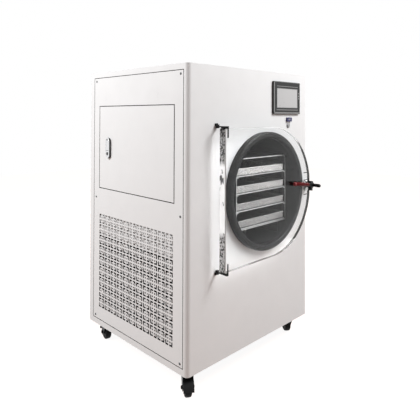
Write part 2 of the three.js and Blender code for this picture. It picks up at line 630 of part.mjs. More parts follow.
// Oblong flush lock: a rim around the lever's recess, a solid lower end that holds the key barrel, and a
// neck through the door.
function lockBody() {
  const { w, h, proud, wall, floor, split, keyR, keyDrop, keyProud } = LOCK;
  const face = extrude('x', stadium(w / 2, h / 2), -proud, -GAP, { curveSegments: 10 });
  const neck = extrude('x', stadium(w / 2 - 4.4, h / 2 - 4.4), -GAP - 1, CAM.x0 - GAP, { curveSegments: 6 });
  const recess = rectangle(-w / 2 + wall, w / 2 - wall, split - LOCK.z, h / 2 - 7);
  const pocket = extrude('x', recess, -proud - 1, -floor);
  const key = rod('x', keyR, -proud - keyProud, -proud + 1, 16).translate(0, 0, split - LOCK.z - keyDrop);
  return cut(join(face, neck, key), pocket).translate([0, LOCK.y, LOCK.z]);
}

// Lever lying in the pocket, pivoted near its upper end.
const LEVER_PIVOT = { x: -LOCK.proud + 2.4, z: LOCK.z + LOCK.h / 2 - 11.4 };
function lockLever() {
  const half = LOCK.w / 2 - LOCK.wall - 0.5;
  const outline = rectangle(LOCK.y - half, LOCK.y + half, LOCK.split + 1, LEVER_PIVOT.z + 2.2, 2);
  return extrude('x', outline, -LOCK.proud, -LOCK.proud + 5.5, { curveSegments: 3 });
}

// Cam behind the door; it points down when the lock is open.
function lockCam() {
  const { x0, x1, eye, reach } = CAM;
  const s = new THREE.Shape();
  s.absarc(0, 0, eye, 0, Math.PI, false);
  s.lineTo(-eye + 1, -reach);
  s.lineTo(eye - 1, -reach);
  return extrude('x', s, x0, x1);
}

// ---------------------------------------------------------------- refrigeration and electrics
function compressor() {
  const z = CABINET.z0 + 3 + GAP;
  const p = COMPRESSOR.plate;
  const corners = [[-80, -80], [80, -80], [-80, 80], [80, 80]];
  const feet = corners.map(([x, y]) => rod('z', 11, z, z + 14, 8).translate(x, y, 0));
  const { r, h } = COMPRESSOR;
  const shell = revolve('z', [[0, 0], [r * 0.7, 4], [r * 0.96, 22], [r, 40], [r, h - 60], [r * 0.98, h - 40],
    [r * 0.72, h - 10], [r * 0.3, h], [0, h]], 18).translate(0, 0, z + 15);
  const plate = extrude('z', rectangle(-p, p, -p, p, 24), z + 12, z + 17, { curveSegments: 2 });
  const stub = rod('z', 7, z + h, z + h + 34, 10).translate(-30, 0, 0);
  return join(shell, plate, stub, ...feet);
}

// Finned block: a comb of vertical plates on a backing sheet.
function condenserCoil() {
  const { x0, x1, y0, y1, z1, fins } = COIL;
  const pitch = (y1 - y0) / (fins - 0.5);
  const comb = [[x1, y0], [x1, y1]];
  for (let i = fins - 1; i >= 0; i -= 1) {
    const y = y0 + i * pitch;
    comb.push([x0, y + pitch / 2], [x0, y]);
    if (i > 0) comb.push([x1 - 3, y], [x1 - 3, y - pitch / 2]);
  }
  const shape = new THREE.Shape(comb.map(([x, y]) => new THREE.Vector2(x, y)));
  return extrude('z', shape, CABINET.z0 + 3 + GAP, z1);
}

// Square shroud with a round throat, and the motor held in it on three arms.
function fanShroud() {
  const { r, ring, depth, motor, motorBack } = FAN;
  const half = ring + 14;
  const plate = extrude('x', rectangle(-half, half, -half, half, 10), 0, 2, { curveSegments: 2 });
  const throat = rod('x', ring, 1, depth, 28);
  const arms = [0, 120, 240].map((a) => box(depth + 8, depth + 12, -6, 6, 10, ring - 1)
    .rotateX(THREE.MathUtils.degToRad(a)));
  const legs = [0, 120, 240].map((a) => box(depth - 8, depth + 12, -6, 6, ring - 5, ring - 0.5)
    .rotateX(THREE.MathUtils.degToRad(a)));
  const can = rod('x', motor, depth + 8, motorBack, 16);
  return join(cut(join(plate, throat), rod('x', r, -1, depth + 1, 28)), ...arms, ...legs, can);
}

function fanRotor() {
  const { r, depth, motor } = FAN;
  const blade = (a) => box(-1, 1, -26, 26, 12, r - 6).rotateZ(THREE.MathUtils.degToRad(28))
    .rotateX(THREE.MathUtils.degToRad(a)).translate(depth / 2, 0, 0);
  const hub = rod('x', motor - 4, 3, depth + 7.5, 16);
  return join(hub, ...[0, 72, 144, 216, 288].map(blade));
}

function refrigerantPipe() {
  const top = CABINET.z0 + 3 + COMPRESSOR.h + 36;
  const { x, y } = COMPRESSOR;
  return tube([[x - 30, y, top + 1], [x - 30, y, top + 40], [x - 60, y + 60, top + 72],
    [x - 60, y + 150, top + 72], [x - 120, 494, top + 40], [COIL.x1 + 30, 500, 360], [COIL.x1 - 20, 500, 350],
    [COIL.x1 - 20, COIL.y1 + 1, 350]], 5, 26);
}

function vacuumPort() {
  const { bore, pipe, flange } = VACUUM;
  const back = FOOTPRINT.back;
  return revolveRing('y', [[bore, CHAMBER.back + GAP], [pipe, CHAMBER.back + GAP], [pipe, back - 7],
    [flange, back - 4], [flange, back], [bore, back]], 16);
}

// Drain pipe from the drum's lowest point, turned out through the back panel into a ball valve.
function drainValve() {
  const { y, z, pipe, valve, stem, end } = DRAIN;
  const top = CHAMBER.z - CHAMBER.inner - CHAMBER.wall - 3;
  const bend = tube([[0, y, top], [0, y, z + 60], [0, y, z + 40], [0, y + 12, z + 12], [0, y + 45, z],
    [0, 560, z], [0, stem - 8, z]], pipe, 18);
  const ball = revolve('y', [[0, stem - 15], [9, stem - 15], [valve, stem - 9], [valve, stem + 8],
    [9, stem + 14], [9, end], [0, end]], 12).translate(0, 0, z);
  return join(bend, ball, rod('z', 4, z, z + valve + 5, 10).translate(0, stem, 0));
}

function drainLever() {
  const { valve } = DRAIN;
  const z = valve + 5.5;
  return join(rod('z', 7, z, z + 5, 12), box(-6, 6, -5, 5, z + 1, z + 5),
    extrude('z', rectangle(0, 62, -5, 5, 4), z + 2, z + 5, { curveSegments: 2 }));
}

function cableGland() {
  const y = CABINET.d;
  const { shank, nut } = GLAND;
  return join(rod('y', shank, y - 14, y + 10, 12),
    revolve('y', [[0, y + GAP], [nut, y + GAP], [nut, y + 7], [nut - 2, y + 9], [nut - 2.5, y + 19],
      [nut - 6, y + 24], [0, y + 24]], 6));
}

// Folded tray that closes the electrical compartment. Its apron shows behind the top of the vent.
function electricalTray() {
  const near = SHEET + PANEL.frameThick + GAP;
  const { x, y0, y1, z0, z1, apronX, apronTop, sheet: t } = ELECTRICS;
  return join(
    box(x, x + t, y0, y1, z0, z1),
    box(near, x + t, y0, y0 + t, z0, z1),
    box(near, x + t, y1 - t, y1, z0, z1),
    box(apronX, x + t, y0, y1, z0, z0 + t),
    box(apronX, apronX + t, y0, y1, z0, apronTop),
  );
}

function powerSupply() {
  const x1 = ELECTRICS.x - GAP;
  const body = box(x1 - 50, x1, 120, 235, 700, 900);
  const slots = [0, 1, 2, 3, 4].map((i) => box(x1 - 51, x1 - 48, 140, 215, 730 + i * 30, 738 + i * 30));
  return cut(body, ...slots);
}

// Row of three rail breakers as one moulded block, stepped at the front as they are.
function circuitBreaker() {
  const x1 = ELECTRICS.x - GAP;
  const s = new THREE.Shape([[x1, 780], [x1 - 44, 780], [x1 - 44, 802], [x1 - 66, 802], [x1 - 66, 812],
    [x1 - 74, 814], [x1 - 74, 826], [x1 - 66, 828], [x1 - 66, 838], [x1 - 44, 838], [x1 - 44, 860], [x1, 860]]
    .map(([u, v]) => new THREE.Vector2(u, v)));
  return extrude('y', s, 320, 374);
}

// ---------------------------------------------------------------- casters
function casterPlaces() {
  const { insetX, insetY } = CASTER;
  const [left, right, front, rear] = [insetX, CABINET.w - insetX, insetY, CABINET.d - insetY];
  return [{ name: 'front_left', x: left, y: front }, { name: 'front_right', x: right, y: front },
    { name: 'rear_left', x: left, y: rear }, { name: 'rear_right', x: right, y: rear }];
}

// Swivel head, two tapered cheeks and the axle. The swivel axis is the local z axis and the wheel trails to +x.
function casterFork() {
  const { swivelR, swivelDrop, trail, wheelR, fork, forkThick: t, axleR, plateThick, cheek: r } = CASTER;
  const top = CABINET.z0 - plateThick - GAP;
  const crown = top - swivelDrop;
  const cheek = new THREE.Shape();
  cheek.moveTo(-swivelR + 3, crown);
  cheek.lineTo(trail - r, wheelR - 2);
  cheek.absarc(trail, wheelR, r, Math.PI, 2 * Math.PI, false);
  cheek.lineTo(trail + 11, crown);
  const cheeks = [-fork / 2, fork / 2 - t].map((y) => extrude('y', cheek, y, y + t, { curveSegments: 3 }));
  const bridge = box(-swivelR + 3, trail + 11, -fork / 2, fork / 2, crown - 3, crown + 0.5);
  const head = revolve('z', [[0, crown], [swivelR - 5, crown], [swivelR, crown + 3], [swivelR, top], [0, top]],
    12);
  const axle = rod('y', axleR, -fork / 2 - 5, fork / 2 + 5, 8).translate(trail, 0, wheelR);
  const nuts = [[-fork / 2 - 4, -fork / 2], [fork / 2, fork / 2 + 4]]
    .map(([y0, y1]) => rod('y', axleR + 3, y0, y1, 6).translate(trail, 0, wheelR));
  return join(...cheeks, bridge, head, axle, wheelHood(), ...nuts);
}

// Curved guard over the wheel's trailing side, from the axle's level up to the crown.
function wheelHood() {
  const { trail, wheelR, fork, hoodIn, hoodOut, hoodEnd } = CASTER;
  const end = THREE.MathUtils.degToRad(hoodEnd);
  const s = new THREE.Shape();
  s.absarc(trail, wheelR, hoodOut, 0, end, false);
  s.absarc(trail, wheelR, hoodIn, end, 0, true);
  return extrude('y', s, -fork / 2, fork / 2);
}

// Tyre and hub in one turning, with a flat of the many-sided tread on the floor.
function casterWheel() {
  const { wheelR, wheelW, axleR, axlePlay, fork, forkThick } = CASTER;
  const facets = 18;
  const r = wheelR / Math.cos(Math.PI / facets);
  const [w, hub] = [wheelW / 2, fork / 2 - forkThick - 0.8];
  return revolveRing('y', [[axleR + axlePlay, -hub], [10, -hub], [21, -w], [r - 7, -w], [r - 2, -w + 3.5],
    [r, -w + 8], [r, w - 8], [r - 2, w - 3.5], [r - 7, w], [21, w], [10, hub], [axleR + axlePlay, hub]], facets)
    .rotateY(Math.PI / facets);
}

function caster({ name, x, y }) {
  const wheel = piece(`caster_wheel_${name}`, casterWheel(), RUBBER);
  wheel.position.set(CASTER.trail, 0, CASTER.wheelR);
  const g = group(x, y, 0, piece(`caster_fork_${name}`, casterFork(), BLACK_PLASTIC), wheel);
  g.rotation.z = THREE.MathUtils.degToRad(CASTER_HEADINGS[name]);
  return g;
}

// ---------------------------------------------------------------- assembly
const shelves = Array.from({ length: SHELVES.count }, (_, i) => piece(`shelf_${i + 1}`, shelf(i), ALUMINIUM));
const trays = Array.from({ length: TRAY.count }, (_, i) => piece(`tray_${i + 1}`, tray(i), STAINLESS));

const chamber = group(CHAMBER.x, 0, CHAMBER.z,
  piece('chamber_drum', chamberDrum(), STAINLESS),
  piece('chamber_insulation', insulation(), FOAM),
  piece('door_gasket', doorGasket(), RUBBER),
  piece('rack_frame', rackFrame(), STAINLESS),
  ...shelves,
  ...trays,
  piece('vacuum_port', vacuumPort(), STAINLESS));

const cabinet = group(0, 0, 0,
  piece('cabinet_shell', cabinetShell(), WHITE_PAINT),
  piece('base_pan', basePan(), DARK_STEEL),
  piece('left_side_panel', leftPanel(), WHITE_PAINT),
  piece('right_side_panel', rightPanel(), WHITE_PAINT),
  piece('back_panel', backPanel(), WHITE_PAINT),
  piece('door_hinge_bracket_upper', hingeBracket(), BLACK_PLASTIC),
  piece('door_hinge_bracket_lower', mirrored(hingeBracket(), DOOR_Z), BLACK_PLASTIC),
  piece('latch_keeper', latchKeeper(), STAINLESS),
  piece('screen_housing', screenHousing(), BEZEL),
  piece('screen_pane', screenPane(), SCREEN_GLASS),
  piece('usb_port', usbPort(), BLUE_PLASTIC),
  piece('access_hinge_upper', accessHinge(), STAINLESS),
  piece('access_hinge_lower', mirrored(accessHinge(), (ACCESS_DOOR.z0 + ACCESS_DOOR.z1) / 2), STAINLESS),
  piece('electrical_tray', electricalTray(), WHITE_PAINT),
  piece('power_supply', powerSupply(), ALUMINIUM),
  piece('circuit_breaker', circuitBreaker(), WHITE_PAINT),
  piece('condenser_coil', condenserCoil(), ALUMINIUM),
  piece('refrigerant_pipe', refrigerantPipe(), COPPER),
  group(COMPRESSOR.x, COMPRESSOR.y, 0, piece('compressor', compressor(), DARK_STEEL)),
  group(FAN.x, FAN.y, FAN.z, piece('fan_shroud', fanShroud(), DARK_STEEL),
    piece('fan_rotor', fanRotor(), BLACK_PLASTIC)),
  group(CHAMBER.x, 0, 0, piece('drain_valve', drainValve(), STAINLESS)),
  group(GLAND.x, 0, GLAND.z, piece('cable_gland', cableGland(), BLACK_PLASTIC)),
  group(BUTTON.x, 0, BUTTON.z, piece('button_collar', buttonCollar(), STAINLESS),
    piece('power_button', buttonCap(), STAINLESS)));

const lever = piece('latch_lever', latchLever(), RED_PLASTIC);
lever.position.y = (LATCH.hubBack + LATCH.hubFront) / 2;
const handle = group(0, 0, 0, piece('latch_spindle', latchSpindle(), BLACK_PLASTIC), lever);
handle.rotation.y = THREE.MathUtils.degToRad(LATCH.tilt);
const latch = group(LATCH.x, 0, CHAMBER.z, handle, piece('latch_hook', latchHook(), STAINLESS));

const chamberDoor = group(0, 0, 0,
  group(CHAMBER.x, 0, CHAMBER.z, piece('chamber_door', doorPlate(), ACRYLIC)),
  piece('door_hinge_strap_upper', hingeStrap(), BLACK_PLASTIC),
  piece('door_hinge_strap_lower', mirrored(hingeStrap(), DOOR_Z), BLACK_PLASTIC),
  piece('latch_block', latchBlock(), BLACK_PLASTIC),
  latch);

const sideDoor = group(0, 0, 0,
  piece('access_door', accessDoor(), WHITE_PAINT),
  piece('lock_body', lockBody(), CHROME),
  piece('lock_lever', lockLever(), CHROME),
  group(0, LOCK.y, LOCK.z, piece('lock_cam', lockCam(), STAINLESS)));

const drainHandle = group(CHAMBER.x, DRAIN.stem, DRAIN.z, piece('drain_lever', drainLever(), RED_PLASTIC));

const machine = group(-(FOOTPRINT.left + FOOTPRINT.right) / 2, -(FOOTPRINT.front + FOOTPRINT.back) / 2, 0,
  cabinet, chamber, chamberDoor, sideDoor, drainHandle, ...casterPlaces().map(caster));

export default group(0, 0, 0, machine);
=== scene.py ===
"""Looks of the pilot freeze dryer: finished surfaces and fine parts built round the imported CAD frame, with a
pale studio, soft light and the camera.

Meshes are made in cabinet millimetres: x from the left side, y from the front face, z from the floor.
TO_FRAME turns them into the frame's metres, which the materials work in."""
import json
import math

import bmesh
import bpy
from mathutils import Matrix, Vector


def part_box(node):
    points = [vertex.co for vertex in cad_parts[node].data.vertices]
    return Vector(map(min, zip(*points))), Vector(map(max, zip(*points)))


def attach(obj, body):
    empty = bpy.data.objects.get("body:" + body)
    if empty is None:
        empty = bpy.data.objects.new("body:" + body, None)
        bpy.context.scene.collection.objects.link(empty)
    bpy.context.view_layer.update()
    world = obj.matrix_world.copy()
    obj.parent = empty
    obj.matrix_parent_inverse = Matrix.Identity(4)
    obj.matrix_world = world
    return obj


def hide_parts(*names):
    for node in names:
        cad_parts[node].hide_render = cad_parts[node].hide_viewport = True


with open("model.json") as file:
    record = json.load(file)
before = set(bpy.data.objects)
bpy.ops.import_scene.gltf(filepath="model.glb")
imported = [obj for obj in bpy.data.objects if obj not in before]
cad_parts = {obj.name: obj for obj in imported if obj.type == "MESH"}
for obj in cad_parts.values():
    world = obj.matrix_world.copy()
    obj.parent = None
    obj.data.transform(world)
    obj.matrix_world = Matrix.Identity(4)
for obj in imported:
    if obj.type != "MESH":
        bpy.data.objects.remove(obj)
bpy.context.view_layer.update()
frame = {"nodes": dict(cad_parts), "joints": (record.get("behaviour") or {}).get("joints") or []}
nodes = frame["nodes"]

shell_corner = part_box("cabinet_shell")[0]
ORIGIN = Vector((shell_corner.x, shell_corner.y, 0))
TO_FRAME = Matrix.Translation(ORIGIN) @ Matrix.Scale(0.001, 4)
PLANES = {"x": (1, 2, 0), "y": (0, 2, 1), "z": (0, 1, 2)}  # the axes across an axis, and the axis itself
GAP = 0.4  # air between a part and what it seats on


# ---------------------------------------------------------------- places from the frame
def from_frame(place):
    """A place in the frame's metres, in cabinet millimetres."""
    return (Vector(place) - ORIGIN) * 1000


def span(node):
    """(low, high) corners of a CAD node."""
    low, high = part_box(node)
    return from_frame(low), from_frame(high)


def middle(corners):
    """Centre of a (low, high) pair of corners."""
    return (corners[0] + corners[1]) / 2


def face_of(corners, axis):
    """(u0, u1, v0, v1) of a box that is looked at along an axis."""
    u, v, _ = PLANES[axis]
    low, high = corners
    return low[u], high[u], low[v], high[v]


def grown(rectangle, by):
    """The rectangle (u0, u1, v0, v1) with every side moved outwards."""
    u0, u1, v0, v1 = rectangle
    return u0 - by, u1 + by, v0 - by, v1 + by


def joint_named(name):
    return next(joint for joint in frame["joints"] if joint["name"] == name)


CABINET = span("cabinet_shell")
CABINET_CORNER = 16  # radius of the upright corners
CHAMBER = middle(span("chamber_drum"))


# ---------------------------------------------------------------- shader helpers
def grey(tone):
    return tone, tone, tone


def opaque(colour):
    return (*colour, 1)


def plug(tree, socket, value):
    """Links a socket to another one, or sets it to a value."""
    if isinstance(value, bpy.types.NodeSocket):
        tree.links.new(value, socket)
    else:
        socket.default_value = value


def add_node(tree, kind, inputs=None, **settings):
    """Outputs of a new shader node; inputs maps its sockets' names or numbers to values or other sockets."""
    made = tree.nodes.new("ShaderNode" + kind)
    for name, value in settings.items():
        setattr(made, name, value)
    for socket, value in (inputs or {}).items():
        plug(tree, made.inputs[socket], value)
    return made.outputs


def new_material(name):
    """A material with a principled shader and texture coordinates."""
    made = bpy.data.materials.new(name)
    made.use_nodes = True
    add_node(made.node_tree, "TexCoord")
    return made


def parts_of(made):
    """A material's node tree, principled shader and texture coordinates."""
    tree = made.node_tree
    coordinates = next(each for each in tree.nodes if each.type == "TEX_COORD").outputs
    return tree, tree.nodes["Principled BSDF"], coordinates


def math_node(tree, operation, *values):
    """Arithmetic on numbers or number sockets."""
    return add_node(tree, "Math", dict(enumerate(values)), operation=operation)["Value"]


def vector_node(tree, operation, *values):
    """Arithmetic on vectors or vector sockets, with a vector as its result."""
    return add_node(tree, "VectorMath", dict(enumerate(values)), operation=operation)["Vector"]


def split(tree, vector):
    """The X, Y and Z sockets of a vector."""
    return add_node(tree, "SeparateXYZ", {0: vector})


def noise(tree, place, scale, stretch=(1, 1, 1), detail=3.0):
    """Noise value over the object, scale in cycles a metre, stretched along the axes."""
    mapped = add_node(tree, "Mapping", {"Vector": place, "Scale": stretch})["Vector"]
    return add_node(tree, "TexNoise", {"Vector": mapped, "Scale": scale, "Detail": detail})["Fac"]


def remapped(tree, value, source, target):
    """A value whose range source becomes the range target; both are (low, high), and it stops at the ends."""
    inputs = {"Value": value, "From Min": source[0], "From Max": source[1],
              "To Min": target[0], "To Max": target[1]}
    return add_node(tree, "MapRange", inputs)["Result"]


def spread(tree, value, low, high):
    """Noise, which sits mostly between 0.3 and 0.7, mapped to low..high."""
    return remapped(tree, value, (0.3, 0.7), (low, high))


def mixed_colour(tree, factor, first, second):
    """first where factor is 0 and second where it is 1; each is an opaque colour or a socket."""
    inputs = {"Factor": factor, "A": first, "B": second}
    return add_node(tree, "Mix", inputs, data_type="RGBA")["Result"]


def mixed_shader(tree, factor, first, second):
    """first where factor is 0 and second where it is 1."""
    return add_node(tree, "MixShader", {"Fac": factor, 1: first, 2: second})["Shader"]


def tinted(tree, shader, value, colour, change):
    """Base colour that wanders by the fraction change round colour."""
    darker = [tone * (1 - change) for tone in colour]
    lighter = [min(1, tone * (1 + change)) for tone in colour]
    plug(tree, shader.inputs["Base Color"], mixed_colour(tree, value, opaque(darker), opaque(lighter)))


def bumped(tree, shader, value, depth):
    """Surface relief, depth in metres between low and high."""
    relief = add_node(tree, "Bump", {"Height": value, "Distance": depth})["Normal"]
    plug(tree, shader.inputs["Normal"], relief)


def covered(made, factor, colour):
    """Another base colour where factor is 1, and the material's own where it is 0."""
    tree, shader, _ = parts_of(made)
    base = shader.inputs["Base Color"]
    plug(tree, base, mixed_colour(tree, factor, base.links[0].from_socket, opaque(colour)))
    return made


# ---------------------------------------------------------------- kinds of surface
def surface(name, colour, roughness, metallic=0.0, vary=0.04, rough_vary=0.05, patch=14, grain=900,
            stretch=(1, 1, 1), relief=0.00003, coat=0.0, specular=0.5):
    """Painted, moulded or metal surface. Slow noise at the scale patch varies its colour, fine noise at the
    scale grain gives its relief, and the two together vary its gloss."""
    made = new_material(name)
    tree, shader, coordinates = parts_of(made)
    shader.inputs["Metallic"].default_value = metallic
    shader.inputs["Specular IOR Level"].default_value = specular
    shader.inputs["Coat Weight"].default_value = coat
    shader.inputs["Coat Roughness"].default_value = 0.08
    slow = noise(tree, coordinates["Object"], patch)
    fine = noise(tree, coordinates["Object"], grain, stretch, 4)
    tinted(tree, shader, spread(tree, slow, 0, 1), colour, vary)
    both = math_node(tree, "MULTIPLY", slow, fine)
    rough_range = (roughness - rough_vary, roughness + rough_vary)
    plug(tree, shader.inputs["Roughness"], remapped(tree, both, (0.1, 0.4), rough_range))
    bumped(tree, shader, fine, relief)
    return made


def brushed(name, colour, roughness, along):
    """Stainless steel with a directional brushing that runs along one axis."""
    stretch = [1.0, 1.0, 1.0]
    stretch["xyz".index(along)] = 0.02
    return surface(name, colour, roughness, 1.0, vary=0.06, rough_vary=0.1, patch=9, grain=700,
                   stretch=stretch, relief=0.00002)


def lit_front_shaded_rest(name, bright, shade_tone, above):
    """Metal in its own bright colour on the front faces above a height in metres, and painted shade, a
    near-black colour, on all other faces.
    """
    made = surface(name, bright, 0.4, 1.0, vary=0.1, patch=60, grain=800)
    tree, _, coordinates = parts_of(made)
    shaded_side = math_node(tree, "GREATER_THAN", split(tree, coordinates["Normal"])["Y"], -0.6)
    below = math_node(tree, "LESS_THAN", split(tree, coordinates["Object"])["Z"], above)
    return covered(made, math_node(tree, "MAXIMUM", shaded_side, below), shade_tone)


def clear(name, colour, roughness, ior, gloss=1.0, through=1.0):
    """Clear plastic with a faint haze that varies; through is the share of light that it lets in."""
    made = new_material(name)
    tree, shader, coordinates = parts_of(made)
    shader.inputs["Base Color"].default_value = opaque(colour)
    shader.inputs["Transmission Weight"].default_value = through
    shader.inputs["IOR"].default_value = ior
    shader.inputs["Specular Tint"].default_value = opaque(grey(gloss))
    haze = spread(tree, noise(tree, coordinates["Object"], 30), roughness * 0.5, roughness * 1.5)
    plug(tree, shader.inputs["Roughness"], haze)
    bumped(tree, shader, noise(tree, coordinates["Object"], 12), 0.00002)
    return made


def lit_through(made, share):
    """Lets a share of the lamps' light through a clear part, which would otherwise cast a full shadow."""
    tree = made.node_tree
    surface_in = tree.nodes["Material Output"].inputs["Surface"]
    thin = add_node(tree, "BsdfTransparent", {"Color": opaque(grey(share))})["BSDF"]
    in_shadow = add_node(tree, "LightPath")["Is Shadow Ray"]
    plug(tree, surface_in, mixed_shader(tree, in_shadow, surface_in.links[0].from_socket, thin))
    return made


# ---------------------------------------------------------------- paint
def painted_shade_inside_mask(tree, place, depth):
    """1 for points more than depth (metres) inside the cabinet's skin, whose upright corners are rounded."""
    low, high = (ORIGIN + corner / 1000 for corner in CABINET)
    radius = CABINET_CORNER / 1000
    centred = vector_node(tree, "ABSOLUTE", vector_node(tree, "SUBTRACT", place, (low + high) / 2))
    past = vector_node(tree, "SUBTRACT", centred, (high - low) / 2 - Vector((radius, radius, 0)))
    outward = vector_node(tree, "MAXIMUM", past, Vector((0, 0, 0)))
    level = vector_node(tree, "MULTIPLY", outward, Vector((1, 1, 0)))
    length = add_node(tree, "VectorMath", {0: level}, operation="LENGTH")["Value"]
    from_arc = math_node(tree, "SUBTRACT", length, radius)
    from_skin = math_node(tree, "MAXIMUM", from_arc, split(tree, past)["Z"])
    return math_node(tree, "LESS_THAN", from_skin, -depth)


def paint_with_painted_shade_inside():
    """White powder coat outside, and painted shade: a near-black colour on the hidden faces inside the
    cabinet.
    """
    made = surface("white_paint", (0.788, 0.801, 0.809), 0.32, vary=0.012, grain=420, relief=0.00002,
                   coat=0.35)
    tree, _, coordinates = parts_of(made)
    # painted shade: the faces inside the cabinet's skin are coloured near black
    return covered(made, painted_shade_inside_mask(tree, coordinates["Object"], 0.0005), (0.012, 0.0118, 0.0115))


PAINT = paint_with_painted_shade_inside()
PAINT_INSIDE = surface("white_paint_inside", (0.78, 0.776, 0.77), 0.45, vary=0.02, grain=420)
DARK_STEEL = surface("black_enamel", (0.013, 0.013, 0.014), 0.4, vary=0.2, patch=50, grain=600, coat=0.3)

# ---------------------------------------------------------------- metals
RACK_FOOT = CHAMBER.z - 146  # below it the rack's skid has painted shade all round

STEEL = brushed("stainless", (0.60, 0.60, 0.59), 0.3, "x")
# painted shade: the stainless drum is coloured near black for the shade inside the chamber
SHADED_DRUM = surface("drum_in_painted_shade", (0.014, 0.0139, 0.0138), 0.85, vary=0.2, patch=9, grain=700,
                     stretch=(1, 0.02, 1), relief=0.00002, specular=0.03)
# painted shade: rack and shelves are near black except on their front faces
RACK = lit_front_shaded_rest("rack_steel", (0.60, 0.60, 0.59), grey(0.05), RACK_FOOT / 1000)
SHELF = lit_front_shaded_rest("shelf_aluminium", grey(0.66), grey(0.035), 0.0)
ZINC = surface("zinc_screws", grey(0.10), 0.4, 1.0, vary=0.2, patch=300, grain=2500)
CHROME = surface("polished_chrome", (0.80, 0.80, 0.81), 0.12, 1.0, vary=0.03, rough_vary=0.04, grain=300,
                 relief=0.00001)
RING_STEEL = surface("collar_steel", (0.34, 0.34, 0.35), 0.4, 0.6, vary=0.1, patch=60)
# painted shade for the outer wall of the lock's rim
RIM_SHADE = surface("lock_rim_painted_shade", grey(0.07), 0.25, 1.0, vary=0.1)
COPPER = surface("copper", (0.22, 0.10, 0.06), 0.5, 1.0, vary=0.12, patch=40)
FINS = surface("fin_aluminium", grey(0.02), 0.7, specular=0.15, vary=0.2, patch=80)


def tray_steel(number, tone):
    """Scratched steel of one tray, in a tone that paints its shade."""
    return surface(f"tray_steel_{number}", (tone, tone * 0.99, tone * 0.98), 0.6, 0.45, vary=0.6,
                   rough_vary=0.12, patch=210, grain=500)


# painted shade: the trays share one steel, and each lower tray is coloured darker
TRAY_SHADE_TONES = (0.56, 0.45, 0.35, 0.33)  # from the top tray down
TRAY_STEEL = [tray_steel(number, tone) for number, tone in enumerate(TRAY_SHADE_TONES, 1)]

# ---------------------------------------------------------------- plastics and rubber
RUBBER = surface("silicone_grey", (0.005, 0.0051, 0.0053), 0.42, vary=0.15, patch=40, grain=1500,
                 relief=0.00006, specular=0.2)
TREAD = surface("tread_rubber", grey(0.004), 0.5, vary=0.2, patch=120, grain=1200, relief=0.00008,
                specular=0.12)
# dark strip: painted shade in the gaps round the side panel and its door, and the two dark lines on the pane
# by the latch
DARK_STRIP = surface("dark_strip", grey(0.006), 0.6, vary=0.2, patch=80, grain=1500, specular=0.1)
BLACK = surface("black_plastic", (0.006, 0.006, 0.0065), 0.36, vary=0.15, patch=60, grain=1800,
                relief=0.00004, specular=0.2)
BEZEL = surface("bezel_plastic", (0.018, 0.0185, 0.019), 0.5, specular=0.3, vary=0.08, patch=50, grain=2500,
                relief=0.00005)
BEZEL_LINE = surface("bezel_edge", (0.22, 0.225, 0.225), 0.4, vary=0.05, grain=2500)
BLUE = surface("blue_plastic", (0.030, 0.030, 0.115), 0.34, vary=0.08, patch=80, grain=2200)
BREAKER = surface("breaker_plastic", (0.70, 0.70, 0.69), 0.5, vary=0.05, grain=1500)
FERRULE = surface("ferrule", (0.22, 0.012, 0.016), 0.4, vary=0.15, grain=1500)
RED_SOLID = surface("red_plastic", (0.20, 0.014, 0.018), 0.35, vary=0.1, grain=1500)
FOAM = surface("foam", (0.52, 0.51, 0.47), 0.85, vary=0.08, patch=30, grain=300, relief=0.0004)

# ---------------------------------------------------------------- screen and clear parts
SCREEN = surface("screen_glass", (0.48, 0.487, 0.492), 0.3, vary=0.02, patch=8, grain=60, relief=0.000005,
                 coat=0.2)
LENS = surface("indicator_lens", (0.62, 0.66, 0.62), 0.2, vary=0.05, coat=1.0)
ACRYLIC = lit_through(clear("acrylic", (0.97, 0.975, 0.975), 0.002, 1.41, 0.12), 0.92)
FROSTED = surface("acrylic_chamfer", (0.62, 0.63, 0.63), 0.35, vary=0.05, grain=700)
RED = clear("red_acrylic", (0.16, 0.001, 0.003), 0.06, 1.2, 0.3, through=0.45)


def sawn_edge_and_reflections():
    """Unpolished edge of the pane: its colour is the sawn grain mixed with painted reflection of light inside
    the pane, mottled grey towards both ends, and whitish with dark streaks between.
    """
    made = new_material("acrylic_sawn_edge")
    tree, shader, coordinates = parts_of(made)
    place = coordinates["Object"]
    above_middle = math_node(tree, "SUBTRACT", split(tree, place)["Z"], CHAMBER.z / 1000)
    towards_ends = remapped(tree, math_node(tree, "ABSOLUTE", above_middle), (0.115, 0.135), (0, 1))
    grain = noise(tree, place, 210, (1, 1, 0.8), 4)
    streaks = noise(tree, place, 60, (1, 1, 0.5), 2)
    # painted reflection: the light and dark mottle at the ends and the whitish band with dark streaks stand
    # for light reflected inside the pane
    mottled = mixed_colour(tree, spread(tree, grain, -0.9, 1.9), opaque(grey(0.03)), opaque(grey(0.50)))
    whitish = mixed_colour(tree, spread(tree, streaks, -0.4, 6), opaque(grey(0.10)), opaque(grey(0.97)))
    colour = mixed_colour(tree, towards_ends, whitish, mottled)
    plug(tree, shader.inputs["Base Color"], colour)
    shader.inputs["Roughness"].default_value = 0.5
    bumped(tree, shader, grain, 0.0004)
    glow = add_node(tree, "BsdfTranslucent", {"Color": colour})["BSDF"]
    lit = mixed_shader(tree, 0.55, shader.outputs["BSDF"], glow)
    plug(tree, tree.nodes["Material Output"].inputs["Surface"], lit)
    return made


SAWN = lit_through(sawn_edge_and_reflections(), 0.6)


# ---------------------------------------------------------------- outlines
def arc(u, v, radius, start, end, steps):
    """Points on an arc, in degrees."""
    turn = [math.radians(start + (end - start) * i / steps) for i in range(steps + 1)]
    return [(u + radius * math.cos(a), v + radius * math.sin(a)) for a in turn]


